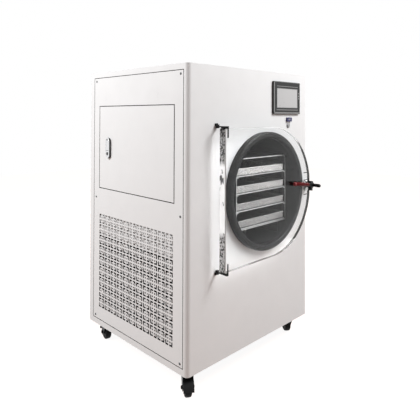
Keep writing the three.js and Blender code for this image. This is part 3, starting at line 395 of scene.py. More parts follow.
def circle(radius, facets):
    """Points round a circle about 0, 0."""
    turn = [2 * math.pi * i / facets for i in range(facets)]
    return [(radius * math.cos(a), radius * math.sin(a)) for a in turn]


def rounded(rectangle, radius, steps=5):
    """Outline of a rectangle (u0, u1, v0, v1) with round corners."""
    u0, u1, v0, v1 = grown(rectangle, -radius)
    corners = ((u1, v0, -90), (u1, v1, 0), (u0, v1, 90), (u0, v0, 180))
    return [p for u, v, start in corners for p in arc(u, v, radius, start, start + 90, steps)]


def stadium(u, v, radius, half_height, steps=12):
    """Upright oblong with round ends."""
    rise = half_height - radius
    return arc(u, v + rise, radius, 0, 180, steps) + arc(u, v - rise, radius, 180, 360, steps)


# ---------------------------------------------------------------- meshes
def point(axis, u, v, w):
    """Cabinet point with u, v across the axis (y, z for x; x, z for y; x, y for z) and w along it."""
    made = [0.0, 0.0, 0.0]
    for value, index in zip((u, v, w), PLANES[axis]):
        made[index] = value
    return Vector(made)


def to_mesh(bm, weld):
    """The finished mesh, with points nearer than weld made one."""
    bmesh.ops.remove_doubles(bm, verts=bm.verts, dist=weld)
    bmesh.ops.recalc_face_normals(bm, faces=bm.faces)
    mesh = bpy.data.meshes.new("mesh")
    bm.to_mesh(mesh)
    bm.free()
    return mesh


def skin(axis, loops, closed=False, weld=0.001):
    """Skin through (outline, place along the axis) loops of equal length. Its ends are capped unless it
    closes on itself."""
    bm = bmesh.new()
    made = [[bm.verts.new(point(axis, u, v, w)) for u, v in outline] for outline, w in loops]
    pairs = list(zip(made, made[1:])) + ([(made[-1], made[0])] if closed else [])
    for a, b in pairs:
        for i in range(len(a)):
            j = (i + 1) % len(a)
            bm.faces.new((a[i], a[j], b[j], b[i]))
    if not closed:
        bm.faces.new(made[0])
        bm.faces.new(made[-1])
    return to_mesh(bm, weld)


def prism(axis, outline, low, high):
    """Straight form of one outline, from low to high along the axis."""
    return skin(axis, [(outline, low), (outline, high)])


def block(x0, x1, y0, y1, z0, z1):
    return prism("z", [(x0, y0), (x1, y0), (x1, y1), (x0, y1)], z0, z1)


POLE = 0.01  # radius that stands for a point on the axis of a turned form


def revolve(axis, centre, profile, facets=48, closed=False):
    """Turned form: profile points are (radius, place along the axis)."""
    loops = [([(centre[0] + u, centre[1] + v) for u, v in circle(radius, facets)], w)
             for radius, w in profile]
    return skin(axis, loops, closed, weld=0.0005)


def framed(axis, outer, inner, low, high):
    """Plate with one hole; both outlines have the same number of points."""
    return skin(axis, [(outer, low), (outer, high), (inner, high), (inner, low)], closed=True)


def sheet(axis, us, vs, is_hole, low, high):
    """Plate on a rectangular grid of lines, open wherever is_hole(u, v) says so."""
    bm = bmesh.new()
    made = {}

    def corner(i, j, k):
        if (i, j, k) not in made:
            made[i, j, k] = bm.verts.new(point(axis, us[i], vs[j], (low, high)[k]))
        return made[i, j, k]

    def solid(i, j):
        if not (0 <= i < len(us) - 1 and 0 <= j < len(vs) - 1):
            return False
        return not is_hole((us[i] + us[i + 1]) / 2, (vs[j] + vs[j + 1]) / 2)

    for i in range(len(us) - 1):
        for j in range(len(vs) - 1):
            if not solid(i, j):
                continue
            square = [(i, j), (i + 1, j), (i + 1, j + 1), (i, j + 1)]
            for k in (0, 1):
                bm.faces.new([corner(*p, k) for p in square])
            for side, (p, q) in zip(((0, -1), (1, 0), (0, 1), (-1, 0)), zip(square, square[1:] + square[:1])):
                if not solid(i + side[0], j + side[1]):
                    bm.faces.new([corner(*p, 0), corner(*q, 0), corner(*q, 1), corner(*p, 1)])
    return to_mesh(bm, weld=0)


def together(*meshes):
    """One mesh out of several."""
    bm = bmesh.new()
    for mesh in meshes:
        bm.from_mesh(mesh)
    made = bpy.data.meshes.new("group")
    bm.to_mesh(made)
    bm.free()
    return made


def turned(mesh, axis, degrees, about):
    """The mesh turned about a line through a cabinet point."""
    spin = Matrix.Rotation(math.radians(degrees), 4, axis.upper())
    mesh.transform(Matrix.Translation(about) @ spin @ Matrix.Translation(-about))
    return mesh


def carved(base, cutter):
    """The base minus the cutter, as a new mesh."""
    pair = [bpy.data.objects.new(n, m) for n, m in (("base", base), ("cutter", cutter))]
    for obj in pair:
        bpy.context.scene.collection.objects.link(obj)
    cut = pair[0].modifiers.new("cut", "BOOLEAN")
    cut.operation = "DIFFERENCE"
    cut.object = pair[1]
    cut.solver = "EXACT"
    graph = bpy.context.evaluated_depsgraph_get()
    made = bpy.data.meshes.new_from_object(pair[0].evaluated_get(graph))
    for obj in pair:
        bpy.data.objects.remove(obj)
    return made


# ---------------------------------------------------------------- pieces
def soften(obj, width, segments, angle):
    """Rounds the edges sharper than angle to width millimetres and shades the rest smooth."""
    mesh = obj.data
    mesh.polygons.foreach_set("use_smooth", [True] * len(mesh.polygons))
    mesh.set_sharp_from_angle(angle=math.radians(angle))
    if width:
        bevel = obj.modifiers.new("edges", "BEVEL")
        bevel.width = width / 1000
        bevel.segments = segments
        bevel.limit_method = "ANGLE"
        bevel.angle_limit = math.radians(angle)
        bevel.harden_normals = True
        bevel.miter_outer = "MITER_ARC"


def piece(name, mesh, body, material, replaces=(), edge=0.0, segments=2, angle=35):
    """A finished piece that rides on a CAD body and may stand for CAD nodes."""
    mesh.transform(TO_FRAME)
    mesh.name = name
    obj = bpy.data.objects.new(name, mesh)
    bpy.context.scene.collection.objects.link(obj)
    mesh.materials.clear()
    mesh.materials.append(material)
    soften(obj, edge, segments, angle)
    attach(obj, body)
    if replaces:
        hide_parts(*replaces)
    return obj


def finish_node(name, material, edge=0.0):
    """A CAD node that stays, with its own finish and softened edges."""
    obj = nodes[name]
    obj.data.materials.clear()
    obj.data.materials.append(material)
    soften(obj, edge, 2, 40)


# ---------------------------------------------------------------- camera
FOCAL = 38.4
SHIFT_DOWN = 0.2376  # the photographer's shift lens keeps the uprights parallel, with a high horizon
CAMERA = Vector((-1012.8, -1118.2, 968.0))
YAW, PITCH, ROLL = (math.radians(a) for a in (45.01, 0.771, 0.18))


def make_camera():
    """Camera that takes in the object as the photograph does."""
    data = bpy.data.cameras.new("camera")
    data.lens = FOCAL
    data.shift_y = -SHIFT_DOWN
    camera = bpy.data.objects.new("camera", data)
    forward = Vector((math.sin(YAW) * math.cos(PITCH), math.cos(YAW) * math.cos(PITCH), math.sin(PITCH)))
    level = Vector((math.cos(YAW), -math.sin(YAW), 0))
    right = level * math.cos(ROLL) + level.cross(forward) * math.sin(ROLL)
    up = right.cross(forward)
    turn = Matrix((right, up, -forward)).transposed().to_4x4()
    camera.matrix_world = Matrix.Translation(ORIGIN + CAMERA / 1000) @ turn
    bpy.context.scene.collection.objects.link(camera)
    bpy.context.scene.camera = camera


make_camera()

# ---------------------------------------------------------------- cabinet
finish_node("cabinet_shell", PAINT, 0.8)
finish_node("right_side_panel", PAINT)
finish_node("back_panel", PAINT)
finish_node("access_door", PAINT, 0.5)
finish_node("base_pan", DARK_STEEL, 0.4)

PANEL = span("left_side_panel")
PANEL_THICK = 1.5
ACCESS = span("access_door")
HINGE_GAP, DOOR_GAP = 3, 2  # air round the side door, at its hinges and at its other sides

VENT_LOW = (72.0, 165.0)  # y and z of the lattice's first corner
VENT_CELLS = (11, 9)
VENT_PITCH = 43.7
# distances from a cell's middle: its ring of slots, half a bridge between two slots, and its square holes
RING_OUT, RING_IN, BRIDGE = 19.4, 13.3, 2.6
DOT_FAR, DOT_NEAR = 9.0, 3.1


def vent_panel():
    """Left panel: every cell has four L-shaped slots round four square holes."""
    marks = (-RING_OUT, -RING_IN, -DOT_FAR, -DOT_NEAR, -BRIDGE, BRIDGE, DOT_NEAR, DOT_FAR, RING_IN, RING_OUT)
    opening = (ACCESS[0].y - HINGE_GAP, ACCESS[1].y + DOOR_GAP,
               ACCESS[0].z - DOOR_GAP, ACCESS[1].z + DOOR_GAP)

    def lines(first, count, edges):
        centres = [first + (i + 0.5) * VENT_PITCH for i in range(count)]
        return sorted({round(v, 3) for v in [c + m for c in centres for m in marks] + list(edges)})

    def is_hole(u, v):
        if opening[0] < u < opening[1] and opening[2] < v < opening[3]:
            return True
        cell = [(value - low) / VENT_PITCH for value, low in zip((u, v), VENT_LOW)]
        if not all(0 < c < n for c, n in zip(cell, VENT_CELLS)):
            return False
        a, b = (abs((c % 1) - 0.5) * VENT_PITCH for c in cell)
        in_ring = RING_IN < max(a, b) < RING_OUT and min(a, b) > BRIDGE
        in_dot = DOT_NEAR < a < DOT_FAR and DOT_NEAR < b < DOT_FAR
        return in_ring or in_dot

    us = lines(VENT_LOW[0], VENT_CELLS[0], (PANEL[0].y, PANEL[1].y, opening[0], opening[1]))
    vs = lines(VENT_LOW[1], VENT_CELLS[1], (PANEL[0].z, PANEL[1].z, opening[2], opening[3]))
    return sheet("x", us, vs, is_hole, 0, PANEL_THICK)


def striker():
    """Angle behind the left panel that the lock's cam catches."""
    low, high = 812, 856
    front, lip = ACCESS[1].y + 6, 16
    return together(block(1, 17, front, front + 2, low, high), block(15, 17, front, front + lip, low, high))


piece("vent_panel", together(vent_panel(), striker()), "cabinet", PAINT, ["left_side_panel"])


def gap_shade_frame(rectangle, width):
    """Painted shade: a black line in the gap round a rectangle on the left side, a little proud of it."""
    return framed("x", rounded(rectangle, 0.5, 1), rounded(grown(rectangle, -width), 0.5, 1), -0.2, 1.2)


GAP_SHADE_OUT = 1.2  # the side door's painted gap shade lies this far outside the air round the door
door_gap_shade = (ACCESS[0].y - HINGE_GAP - GAP_SHADE_OUT, ACCESS[1].y + DOOR_GAP + GAP_SHADE_OUT,
             ACCESS[0].z - DOOR_GAP - GAP_SHADE_OUT, ACCESS[1].z + DOOR_GAP + GAP_SHADE_OUT)
panel_gap_shade = grown(face_of(PANEL, "x"), 2.4)
piece("left_panel_gap_shade", together(gap_shade_frame(panel_gap_shade, 2.5), gap_shade_frame(door_gap_shade, 3.0)), "cabinet", DARK_STRIP)


def screw(axis, u, v, face, out, radius=4.6):
    """Pan head with a dimple; out is the direction in which it stands from its face."""
    head = ((POLE, 0), (radius, 0), (radius, 0.7), (radius * 0.8, 1.5), (radius * 0.4, 1.9),
            (radius * 0.38, 1.0), (POLE, 0.9))
    return revolve(axis, (u, v), [(r, face + out * rise) for r, rise in head], 20)


def screws(axis, places, face, out):
    """A screw at each (u, v) place on a face."""
    return together(*[screw(axis, u, v, face, out) for u, v in places])


SIDE_SCREWS = [(y, z) for y in (36, 578) for z in (127, 625, 1114)]
BACK_SCREWS = [(x, z) for x in (44, 360, 676) for z in (127, 1110)] + [(44, 621), (676, 621)]
BACK = CABINET[1].y
RIGHT_PANEL_FACE = CABINET[1].x - 2

piece("left_panel_screws", screws("x", SIDE_SCREWS, 0, -1), "cabinet", ZINC)
piece("right_panel_screws", screws("x", SIDE_SCREWS, RIGHT_PANEL_FACE, 1), "cabinet", ZINC)

# slots in the back panel: lower corner of the first one, steps to the next, counts and size
SLOT_X, SLOT_Z = 60, 190
SLOT_STEP_X, SLOT_STEP_Z = 110, 26
SLOT_COLUMNS, SLOT_ROWS = 2, 8
SLOT_LENGTH, SLOT_HEIGHT = 92, 9


def louvre(column, row):
    """Blade pressed inwards from the upper edge of a slot in the back panel."""
    x, low = SLOT_X + SLOT_STEP_X * column, SLOT_Z + SLOT_STEP_Z * row
    y, high = BACK - 1.6, low + SLOT_HEIGHT
    profile = [(y, high + 0.5), (y - 7, low - 1.5), (y - 7.9, low - 0.9), (y - 0.9, high + 1.6),
               (y, high + 1.6)]
    return prism("x", profile, x, x + SLOT_LENGTH)


louvres = together(*[louvre(column, row) for row in range(SLOT_ROWS) for column in range(SLOT_COLUMNS)])
piece("back_louvres", louvres, "cabinet", PAINT)
piece("back_panel_screws", screws("y", BACK_SCREWS, BACK, 1), "cabinet", ZINC)

# ---------------------------------------------------------------- chamber door
DOOR = span("chamber_door")
DOOR_FRONT, DOOR_BACK = DOOR[0].y, DOOR[1].y
DOOR_Z = middle(DOOR).z
DOOR_RADIUS = (DOOR[1].z - DOOR[0].z) / 2
ROUND_X = CHAMBER.x + 10  # centre of the round side
FLAT = 40.0  # half height of the flat for the latch
NOTCH_X, NOTCH_HALF = CHAMBER.x + 246, 12.5
SQUARE_CORNER = 5


def door_outline(inset=0.0):
    """Square at the hinge side, round at the other, with a notched flat for the latch."""
    half = math.degrees(math.asin(FLAT / DOOR_RADIUS))
    radius = DOOR_RADIUS - inset
    flat_x = ROUND_X + radius * math.cos(math.radians(half))
    notch_low, notch_high = CHAMBER.z - NOTCH_HALF, CHAMBER.z + NOTCH_HALF
    notch = [(flat_x, notch_low), (NOTCH_X, notch_low), (NOTCH_X, notch_high), (flat_x, notch_high)]
    lower, upper = (arc(ROUND_X, DOOR_Z, radius, start, end, 44) for start, end in ((-90, -half), (half, 90)))
    corner = SQUARE_CORNER - inset
    corner_x, rise = DOOR[0].x + SQUARE_CORNER, radius - corner
    return (lower + notch + upper + arc(corner_x, DOOR_Z + rise, corner, 90, 180, 5)
            + arc(corner_x, DOOR_Z - rise, corner, 180, 270, 5))


def door_pane():
    """Clear slab with small chamfers at its back and wider ones at its front."""
    back, front = 1.2, 2.6
    return skin("y", [(door_outline(back), DOOR_BACK), (door_outline(), DOOR_BACK - back),
                      (door_outline(), DOOR_FRONT + front), (door_outline(front), DOOR_FRONT)])


pane = piece("door_pane", door_pane(), "chamber_door", ACRYLIC, ["chamber_door"])
pane.data.materials.append(SAWN)
pane.data.materials.append(FROSTED)
for face in pane.data.polygons:
    if face.normal.x < -0.95:  # the edge at the hinges
        face.material_index = 1
    elif -0.95 < face.normal.y < -0.3 and face.normal.x < 0.3:  # the front chamfer, but not at the latch
        face.material_index = 2

# ---------------------------------------------------------------- chamber
SMOOTH = 96  # facets round the large rings
CHAMBER_AXIS = (CHAMBER.x, CHAMBER.z)
DRUM_R, DRUM_WALL = 212, 3
DRUM_FRONT, DRUM_END = -20, 470
PORT_R = 11.5  # bore to the vacuum port
GASKET = span("door_gasket")


def gasket_ring():
    """Soft ring with a rounded face, and a groove at its back for the drum's rim."""
    front, back = GASKET[0].y, GASKET[1].y
    outer, inner = (GASKET[1].x - GASKET[0].x) / 2, 208
    rim_in, rim_out = DRUM_R - GAP, DRUM_R + DRUM_WALL + GAP
    profile = [(inner, back), (inner, front + 4), (inner + 1.2, front + 1.2), (inner + 4, front),
               (outer - 8, front), (outer - 4, front + 1), (outer - 1.2, front + 3.6), (outer, front + 7),
               (outer, back), (rim_out, back), (rim_out, front + 4.2), (rim_in, front + 4.2), (rim_in, back)]
    return revolve("y", CHAMBER_AXIS, profile, SMOOTH, closed=True)


def drum_shell():
    """Deep-drawn drum with a dished end and the bore to the vacuum port."""
    outside = [(DRUM_R + DRUM_WALL, DRUM_FRONT), (DRUM_R + DRUM_WALL, 434), (DRUM_R - 2, 452),
               (DRUM_R - 14, 464), (DRUM_R - 48, DRUM_END), (PORT_R, DRUM_END)]
    inside = [(PORT_R, DRUM_END - DRUM_WALL), (DRUM_R - 49, DRUM_END - DRUM_WALL), (DRUM_R - 16, 461),
              (DRUM_R - 5, 450), (DRUM_R, 433)]
    return revolve("y", CHAMBER_AXIS, [(DRUM_R, DRUM_FRONT)] + outside + inside, SMOOTH, closed=True)


piece("gasket_ring", gasket_ring(), "cabinet", RUBBER, ["door_gasket"], angle=50)
piece("drum_shell", drum_shell(), "cabinet", SHADED_DRUM, ["chamber_drum"], angle=40)
finish_node("chamber_insulation", FOAM)
finish_node("rack_frame", RACK)
for number in range(1, 6):
    finish_node(f"shelf_{number}", SHELF)

# (inset, rise) from the tray's floor up its outside, over the rolled lip and down its inside
TRAY_STEPS = ((4.6, 0), (1.9, 2.2), (1.8, 3.2), (1.4, 23.6), (1.3, 24.7), (0.3, 24.3), (0, 25.7), (0.4, 27.1),
              (1.2, 27.5), (2.0, 27.0), (2.6, 25.5), (3.2, 3.2), (4.6, 1.6))
TRAY_CORNER = 5.5


def tray(corners):
    """Pressed tray: leaning walls, round corners and a rolled lip."""
    plan, floor = face_of(corners, "z"), corners[0].z
    return skin("z", [(rounded(grown(plan, -inset), TRAY_CORNER - inset, 6), floor + rise)
                      for inset, rise in TRAY_STEPS])


for number, steel in enumerate(TRAY_STEEL, 1):
    piece(f"pressed_tray_{number}", tray(span(f"tray_{number}")), "cabinet", steel, [f"tray_{number}"],
          angle=50)

# ---------------------------------------------------------------- hinges
for level in ("upper", "lower"):
    finish_node(f"door_hinge_bracket_{level}", BLACK, 0.5)
    finish_node(f"door_hinge_strap_{level}", BLACK, 0.7)
    finish_node(f"access_hinge_{level}", STEEL)

# ---------------------------------------------------------------- latch
PIVOT = from_frame(joint_named("latch_turn")["pos_m"])
TILT = 7.0  # degrees by which the lever's free end stands above level at rest
TIP = span("latch_spindle")[0].y
HUB_FRONT, HUB_BACK = PIVOT.y - 8.5, PIVOT.y + 8.5


def spindle():
    """Grip that stands out to the front, round hub, and the shaft through the door's notch."""
    grip = [(POLE, TIP), (3, TIP + 0.3), (5.6, TIP + 2), (7, TIP + 5), (7.5, TIP + 10), (7.2, TIP + 22)]
    hub = [(6.5, HUB_FRONT - 2), (8.5, HUB_FRONT - 0.8), (12, HUB_FRONT), (13, HUB_FRONT + 1.4),
           (13, HUB_BACK - 0.8), (12.4, HUB_BACK)]
    shaft = [(5, HUB_BACK), (5, -12), (POLE, -12)]
    return revolve("y", (PIVOT.x, PIVOT.z), grip + hub + shaft, 40)


def lever_part(profile, facets):
    """Turned part of the lever; places are counted from the pivot towards the lever's free end."""
    return revolve("x", (PIVOT.y, PIVOT.z), [(radius, PIVOT.x - away) for radius, away in profile], facets)


def latch_grip():
    """Spindle with the socket that holds the lever, and the block that joins them."""
    socket = lever_part([(POLE, 22.6), (5.4, 23), (8, 22.4), (8.5, 21.4), (8.5, 4), (POLE, 4)], 32)
    hub_block = block(PIVOT.x - 7, PIVOT.x + 7, HUB_FRONT + 3, HUB_BACK, PIVOT.z - 24, PIVOT.z + 16)
    return together(spindle(), socket, hub_block)


def latch_sleeve():
    """Clear red sleeve over the lever."""
    return lever_part([(POLE, 23.5), (8.2, 23.5), (9, 28), (9, 115), (8.6, 117), (7.8, 118), (POLE, 118)], 40)


def latch_ferrule():
    """Solid red cap on the lever's free end."""
    return lever_part([(POLE, 126), (4.5, 125.7), (6.8, 124.8), (8, 123), (8, 118.5), (POLE, 118.5)], 32)


def pad_edges():
    """Two dark lines on the pane, above and below the latch."""
    left, right = PIVOT.x - 42, PIVOT.x - 14
    front, back = DOOR_FRONT - 0.5, DOOR_FRONT - 0.02
    heights = (CHAMBER.z - 38, CHAMBER.z + 54)
    return together(*[block(left, right, front, back, z - 1.5, z + 1.5) for z in heights])


finish_node("latch_block", BLACK, 0.8)
finish_node("latch_hook", STEEL, 0.6)
finish_node("latch_keeper", CHROME, 0.4)
piece("latch_grip", turned(latch_grip(), "y", TILT, PIVOT), "latch", BLACK, ["latch_spindle"],
      angle=50)
piece("latch_sleeve", turned(latch_sleeve(), "y", TILT, PIVOT), "latch", RED, ["latch_lever"],
      angle=50)
piece("latch_pad", pad_edges(), "chamber_door", DARK_STRIP)
piece("latch_ferrule", turned(latch_ferrule(), "y", TILT, PIVOT), "latch", FERRULE,
      angle=50)

# ---------------------------------------------------------------- screen
HOUSING = span("screen_housing")
HOUSING_FACE = face_of(HOUSING, "y")
WINDOW = grown(face_of(span("screen_pane"), "y"), GAP)
FACE = HOUSING[0].y
RIM_DEPTH = 2.6  # from the housing's face to the floor that carries the pane


def screen_bezel():
    """Rim round the window, floor behind the pane, and the body that goes through the cabinet's front."""
    outer = rounded(HOUSING_FACE, 4)
    rim = framed("y", outer, rounded(WINDOW, 1.5), FACE, FACE + RIM_DEPTH)
    floor = prism("y", outer, FACE + RIM_DEPTH, -GAP)
    x0, x1, z0, z1 = grown(HOUSING_FACE, -6)
    return together(rim, floor, block(x0, x1, -2, HOUSING[1].y, z0, z1))


def stripe(x0, x1, z0, z1):
    """Straight light line, flat on the housing's face."""
    return block(x0, x1, FACE - 0.3, FACE + 0.3, z0, z1)


def bezel_lines():
    """Light edges of the housing's face: a line round it and round the window, and four stripes."""
    x0, x1, z0, z1 = HOUSING_FACE
    left, right, bottom, top = WINDOW
    border = grown(HOUSING_FACE, -1.5)
    return together(
        framed("y", rounded(border, 3), rounded(grown(border, -1.2), 1.8), FACE - 0.15, FACE + 0.3),
        stripe(x0 + 1.6, x0 + 7.5, z0 + 4, z1 - 4),
        stripe(x0 + 4, x1 - 4, z0 + 3, z0 + 8),
        stripe(left - 4, right + 3, bottom - 11, bottom - 7.5),
        stripe(left - 2, right + 3, top + 8, top + 10.5),
        framed("y", rounded(grown(WINDOW, 1.2), 2), rounded(WINDOW, 1.5), FACE - 0.3, FACE + 0.3))


def indicator_lens(z):
    """Small domed lens at the right of the window."""
    dome = [(POLE, FACE + 0.3), (2.2, FACE + 0.3), (2.1, FACE - 0.1), (1.4, FACE - 0.5), (POLE, FACE - 0.7)]
    return revolve("y", (HOUSING[1].x - 9.5, z), dome, 16)


piece("screen_bezel", screen_bezel(), "cabinet", BEZEL, ["screen_housing"], edge=0.7)
piece("bezel_lines", bezel_lines(), "cabinet", BEZEL_LINE)
LENS_HEIGHTS = (1045, 1056, 1067)
piece("indicator_lenses", together(*[indicator_lens(z) for z in LENS_HEIGHTS]), "cabinet", LENS,
      angle=60)
finish_node("screen_pane", SCREEN)

# ---------------------------------------------------------------- port
USB = span("usb_port")
usb = middle(USB)
USB_FRONT = USB[0].y
MOUTH = (usb.x - 7, usb.x + 7, usb.z - 3.2, usb.z + 3.2)


def usb_housing():
    """Flange with the port's mouth, and the shank through the cabinet's front."""
    outer = rounded(face_of(USB, "y"), 2.5)
    front = framed("y", outer, rounded(MOUTH, 0.6), USB_FRONT, -1.5)
    shank = block(usb.x - 13, usb.x + 13, 0, USB[1].y, usb.z - 6, usb.z + 6)
    return together(front, prism("y", outer, -1.5, -GAP), shank)


def usb_contacts():
    """Metal sleeve in the mouth, and the tongue in its upper half."""
    sleeve = grown(MOUTH, -0.1)
    ring = framed("y", rounded(sleeve, 0.6), rounded(grown(sleeve, -0.5), 0.4), USB_FRONT + 0.2, -1.6)
    return together(ring, block(usb.x - 5.6, usb.x + 5.6, USB_FRONT + 0.8, -1.6, usb.z + 0.3, usb.z + 2.0))


piece("usb_housing", usb_housing(), "cabinet", BLUE, ["usb_port"], edge=0.6)
piece("usb_contacts", usb_contacts(), "cabinet", STEEL)

# ---------------------------------------------------------------- power button
collar = middle(span("button_collar"))
BUTTON_AXIS = (collar.x, collar.z)
RING_PROFILE = [(7.6, -2.6), (8.2, -3), (9.8, -3), (10.7, -2.4), (11, -1.4), (11, -GAP), (9, -GAP), (9, 18),
                (7.6, 18)]
CAP_PROFILE = [(POLE, -4.5), (4.6, -4.6), (5.0, -4.9), (6.2, -5), (6.9, -4.7), (7.2, -4), (7.2, 12),
               (POLE, 12)]
piece("button_ring", revolve("y", BUTTON_AXIS, RING_PROFILE, 40, closed=True), "cabinet", RING_STEEL,
      ["button_collar"], angle=50)
piece("button_cap", revolve("y", BUTTON_AXIS, CAP_PROFILE, 40), "power_button", RING_STEEL,
      ["power_button"], angle=50)

# ---------------------------------------------------------------- lock on the side door
LOCK = span("lock_body")
lock = middle(LOCK)
LOCK_R, LOCK_HALF = (LOCK[1].y - LOCK[0].y) / 2, (LOCK[1].z - LOCK[0].z) / 2
PROUD, FLOOR = -9.2, -2.6  # x of the lock's face and of the floor of the lever's pocket
SPLIT = 826.0  # foot of the pocket; the solid end below it holds the key barrel
KEY_Z = SPLIT - 13


def lock_case():
    """Oblong rim with the lever's pocket, solid lower end and the neck through the door."""
    case = skin("x", [(stadium(lock.y, lock.z, LOCK_R - inset, LOCK_HALF - inset), x)
                      for inset, x in ((0, -GAP), (0, PROUD + 2.2), (0.8, PROUD + 0.6), (2.2, PROUD))])
    half_width = LOCK_R - 3.4
    pocket = rounded((lock.y - half_width, lock.y + half_width, SPLIT, lock.z + LOCK_HALF - 7), 3, 1)
    neck = prism("x", stadium(lock.y, lock.z, LOCK_R - 4.4, LOCK_HALF - 4.4), -0.6, 17.6)
    return together(carved(case, prism("x", pocket, PROUD - 2, FLOOR)), neck)


def shade_lock_rim(obj):
    """Painted shade: a dark colour on the outer wall of the lock's rim."""
    obj.data.materials.append(RIM_SHADE)
    for face in obj.data.polygons:
        place = from_frame(face.center)
        across = place.y - lock.y
        beyond = max(abs(place.z - lock.z) - (LOCK_HALF - LOCK_R), 0)
        if abs(face.normal.x) < 0.5 and math.hypot(across, beyond) > LOCK_R - 1.2:
            face.material_index = 1


lock_shell = piece("lock_case", lock_case(), "access_door", CHROME, ["lock_body"], edge=0.4,
                   angle=40)
shade_lock_rim(lock_shell)
key_barrel = revolve("x", (lock.y, KEY_Z), [(7, PROUD + 1), (7, PROUD - 0.4), (6.5, PROUD - 0.7),
                                            (POLE, PROUD - 0.7)], 32)
key_slot = block(PROUD - 0.8, PROUD - 0.2, lock.y - 0.7, lock.y + 0.7, KEY_Z - 4.5, KEY_Z + 4.5)
piece("key_barrel", key_barrel, "access_door", BLACK, angle=50)
piece("key_slot", key_slot, "access_door", STEEL)

PULL = span("lock_lever")
piece("lock_pull", prism("x", rounded(face_of(PULL, "x"), 3), PULL[0].x, PULL[1].x), "lock_lever", CHROME,
      ["lock_lever"], edge=1.4, segments=3)
finish_node("lock_cam", STEEL, 0.4)

# ---------------------------------------------------------------- machine room and electrics
finish_node("electrical_tray", PAINT_INSIDE)
finish_node("power_supply", FINS, 0.6)
finish_node("circuit_breaker", BREAKER, 0.5)
finish_node("compressor", DARK_STEEL)
finish_node("fan_shroud", DARK_STEEL)
finish_node("fan_rotor", BLACK)
finish_node("refrigerant_pipe", COPPER)
finish_node("condenser_coil", FINS)
finish_node("vacuum_port", STEEL, 0.5)
finish_node("drain_valve", STEEL, 0.4)
finish_node("drain_lever", RED_SOLID, 0.5)
finish_node("cable_gland", BLACK, 0.5)

# ---------------------------------------------------------------- casters
WHEEL_R, WHEEL_HALF = 32.0, 12.5
BORE, HUB_HALF = 4.6, 15.7


def wheel(corner):
    """Tyre with a rounded tread, dished sides and a hub, set on its own axle."""
    joint = joint_named(f"caster_{corner}_roll")
    hub = [(BORE, HUB_HALF), (9, HUB_HALF)]
    side = [(10.5, WHEEL_HALF - 1), (20, WHEEL_HALF - 2), (21.5, WHEEL_HALF), (27, WHEEL_HALF)]
    tread = [(30.5, WHEEL_HALF - 2.2), (WHEEL_R - 0.3, WHEEL_HALF - 5), (WHEEL_R, WHEEL_HALF - 9)]
    half = hub + side + tread
    profile = [(radius, -y) for radius, y in half] + half[::-1]
    mesh = revolve("y", (0, 0), profile, 56, closed=True)
    heading = math.atan2(-joint["axis"][0], joint["axis"][1])
    mesh.transform(Matrix.Translation(from_frame(joint["pos_m"])) @ Matrix.Rotation(heading, 4, "Z"))
    return mesh


for corner in ("front_left", "front_right", "rear_left", "rear_right"):
    piece(f"caster_tyre_{corner}", wheel(corner), f"caster_wheel_{corner}", TREAD, [f"caster_wheel_{corner}"],
          angle=50)
    finish_node(f"caster_fork_{corner}", BLACK, 0.6)

# ---------------------------------------------------------------- studio
FLOOR_COLOUR = (0.32, 0.20, 0.155)
FLOOR_LIFT = 0.94  # added to the floor's own light where the camera sees it
FLOOR_REACH = 6  # metres
AMBIENT = 0.24


def looking(tree):
    """1 where the ray is seen, reflected or seen through a clear part, and 0 where it lights a surface."""
    path = add_node(tree, "LightPath")
    seen = math_node(tree, "MAXIMUM", path["Is Camera Ray"], path["Is Glossy Ray"])
    seen = math_node(tree, "MAXIMUM", seen, path["Is Transmission Ray"])
    return math_node(tree, "MULTIPLY", seen, math_node(tree, "LESS_THAN", path["Diffuse Depth"], 0.5))


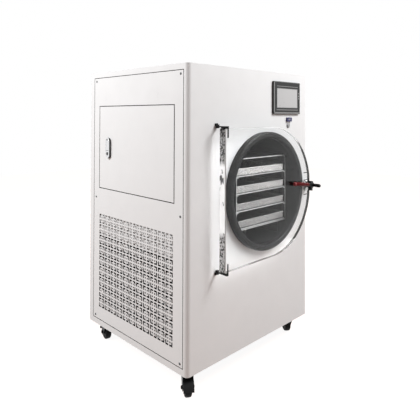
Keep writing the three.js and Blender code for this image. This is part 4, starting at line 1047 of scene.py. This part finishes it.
def floor_material():
    """A pale diffuse floor: white and softly shadowed to the camera, plain white in reflections and through
    clear parts, and no more than its own colour where it lights the object."""
    made = bpy.data.materials.new("studio_floor")
    made.use_nodes = True
    tree = made.node_tree
    tree.nodes.clear()
    diffuse = add_node(tree, "BsdfDiffuse", {"Color": opaque(FLOOR_COLOUR)})["BSDF"]
    white = add_node(tree, "Emission", {"Strength": 1.0})["Emission"]
    lift = add_node(tree, "Emission", {"Strength": FLOOR_LIFT})["Emission"]
    shadowed = add_node(tree, "AddShader", {0: diffuse, 1: lift})["Shader"]
    seen = mixed_shader(tree, add_node(tree, "LightPath")["Is Camera Ray"], white, shadowed)
    add_node(tree, "OutputMaterial", {"Surface": mixed_shader(tree, looking(tree), diffuse, seen)})
    return made


def make_floor():
    """Level square of floor under the object."""
    corners = [(x * FLOOR_REACH, y * FLOOR_REACH, 0) for x, y in ((-1, -1), (1, -1), (1, 1), (-1, 1))]
    mesh = bpy.data.meshes.new("floor")
    mesh.from_pydata(corners, [], [(0, 1, 2, 3)])
    mesh.materials.append(floor_material())
    ground = bpy.data.objects.new("floor", mesh)
    bpy.context.scene.collection.objects.link(ground)


def make_world():
    """White to the camera, to reflections and through clear parts; a plain grey light otherwise."""
    world = bpy.data.worlds.new("studio")
    bpy.context.scene.world = world
    world.use_nodes = True
    tree = world.node_tree
    sky = tree.nodes["Background"]
    sky.inputs["Color"].default_value = (1, 1, 1, 1)
    plug(tree, sky.inputs["Strength"], remapped(tree, looking(tree), (0, 1), (AMBIENT, 1)))


def soft_light(name, place, target, size, watts):
    """Square lamp at a place in the frame's metres, turned towards the target."""
    data = bpy.data.lights.new(name, "AREA")
    data.shape = "SQUARE"
    data.size = size
    data.energy = watts
    lamp = bpy.data.objects.new(name, data)
    lamp.location = place
    lamp.rotation_mode = "QUATERNION"
    lamp.rotation_quaternion = (Vector(target) - Vector(place)).to_track_quat("-Z", "Y")
    bpy.context.scene.collection.objects.link(lamp)


make_floor()
make_world()
soft_light("right_front", (1.15, -1.95, 2.7), (0.1, -0.28, 0.9), 1.2, 92)
soft_light("left_back", (-2.4, 1.1, 2.4), (-0.36, 0.1, 0.8), 1.2, 86)

bpy.context.scene.view_settings.view_transform = "Standard"
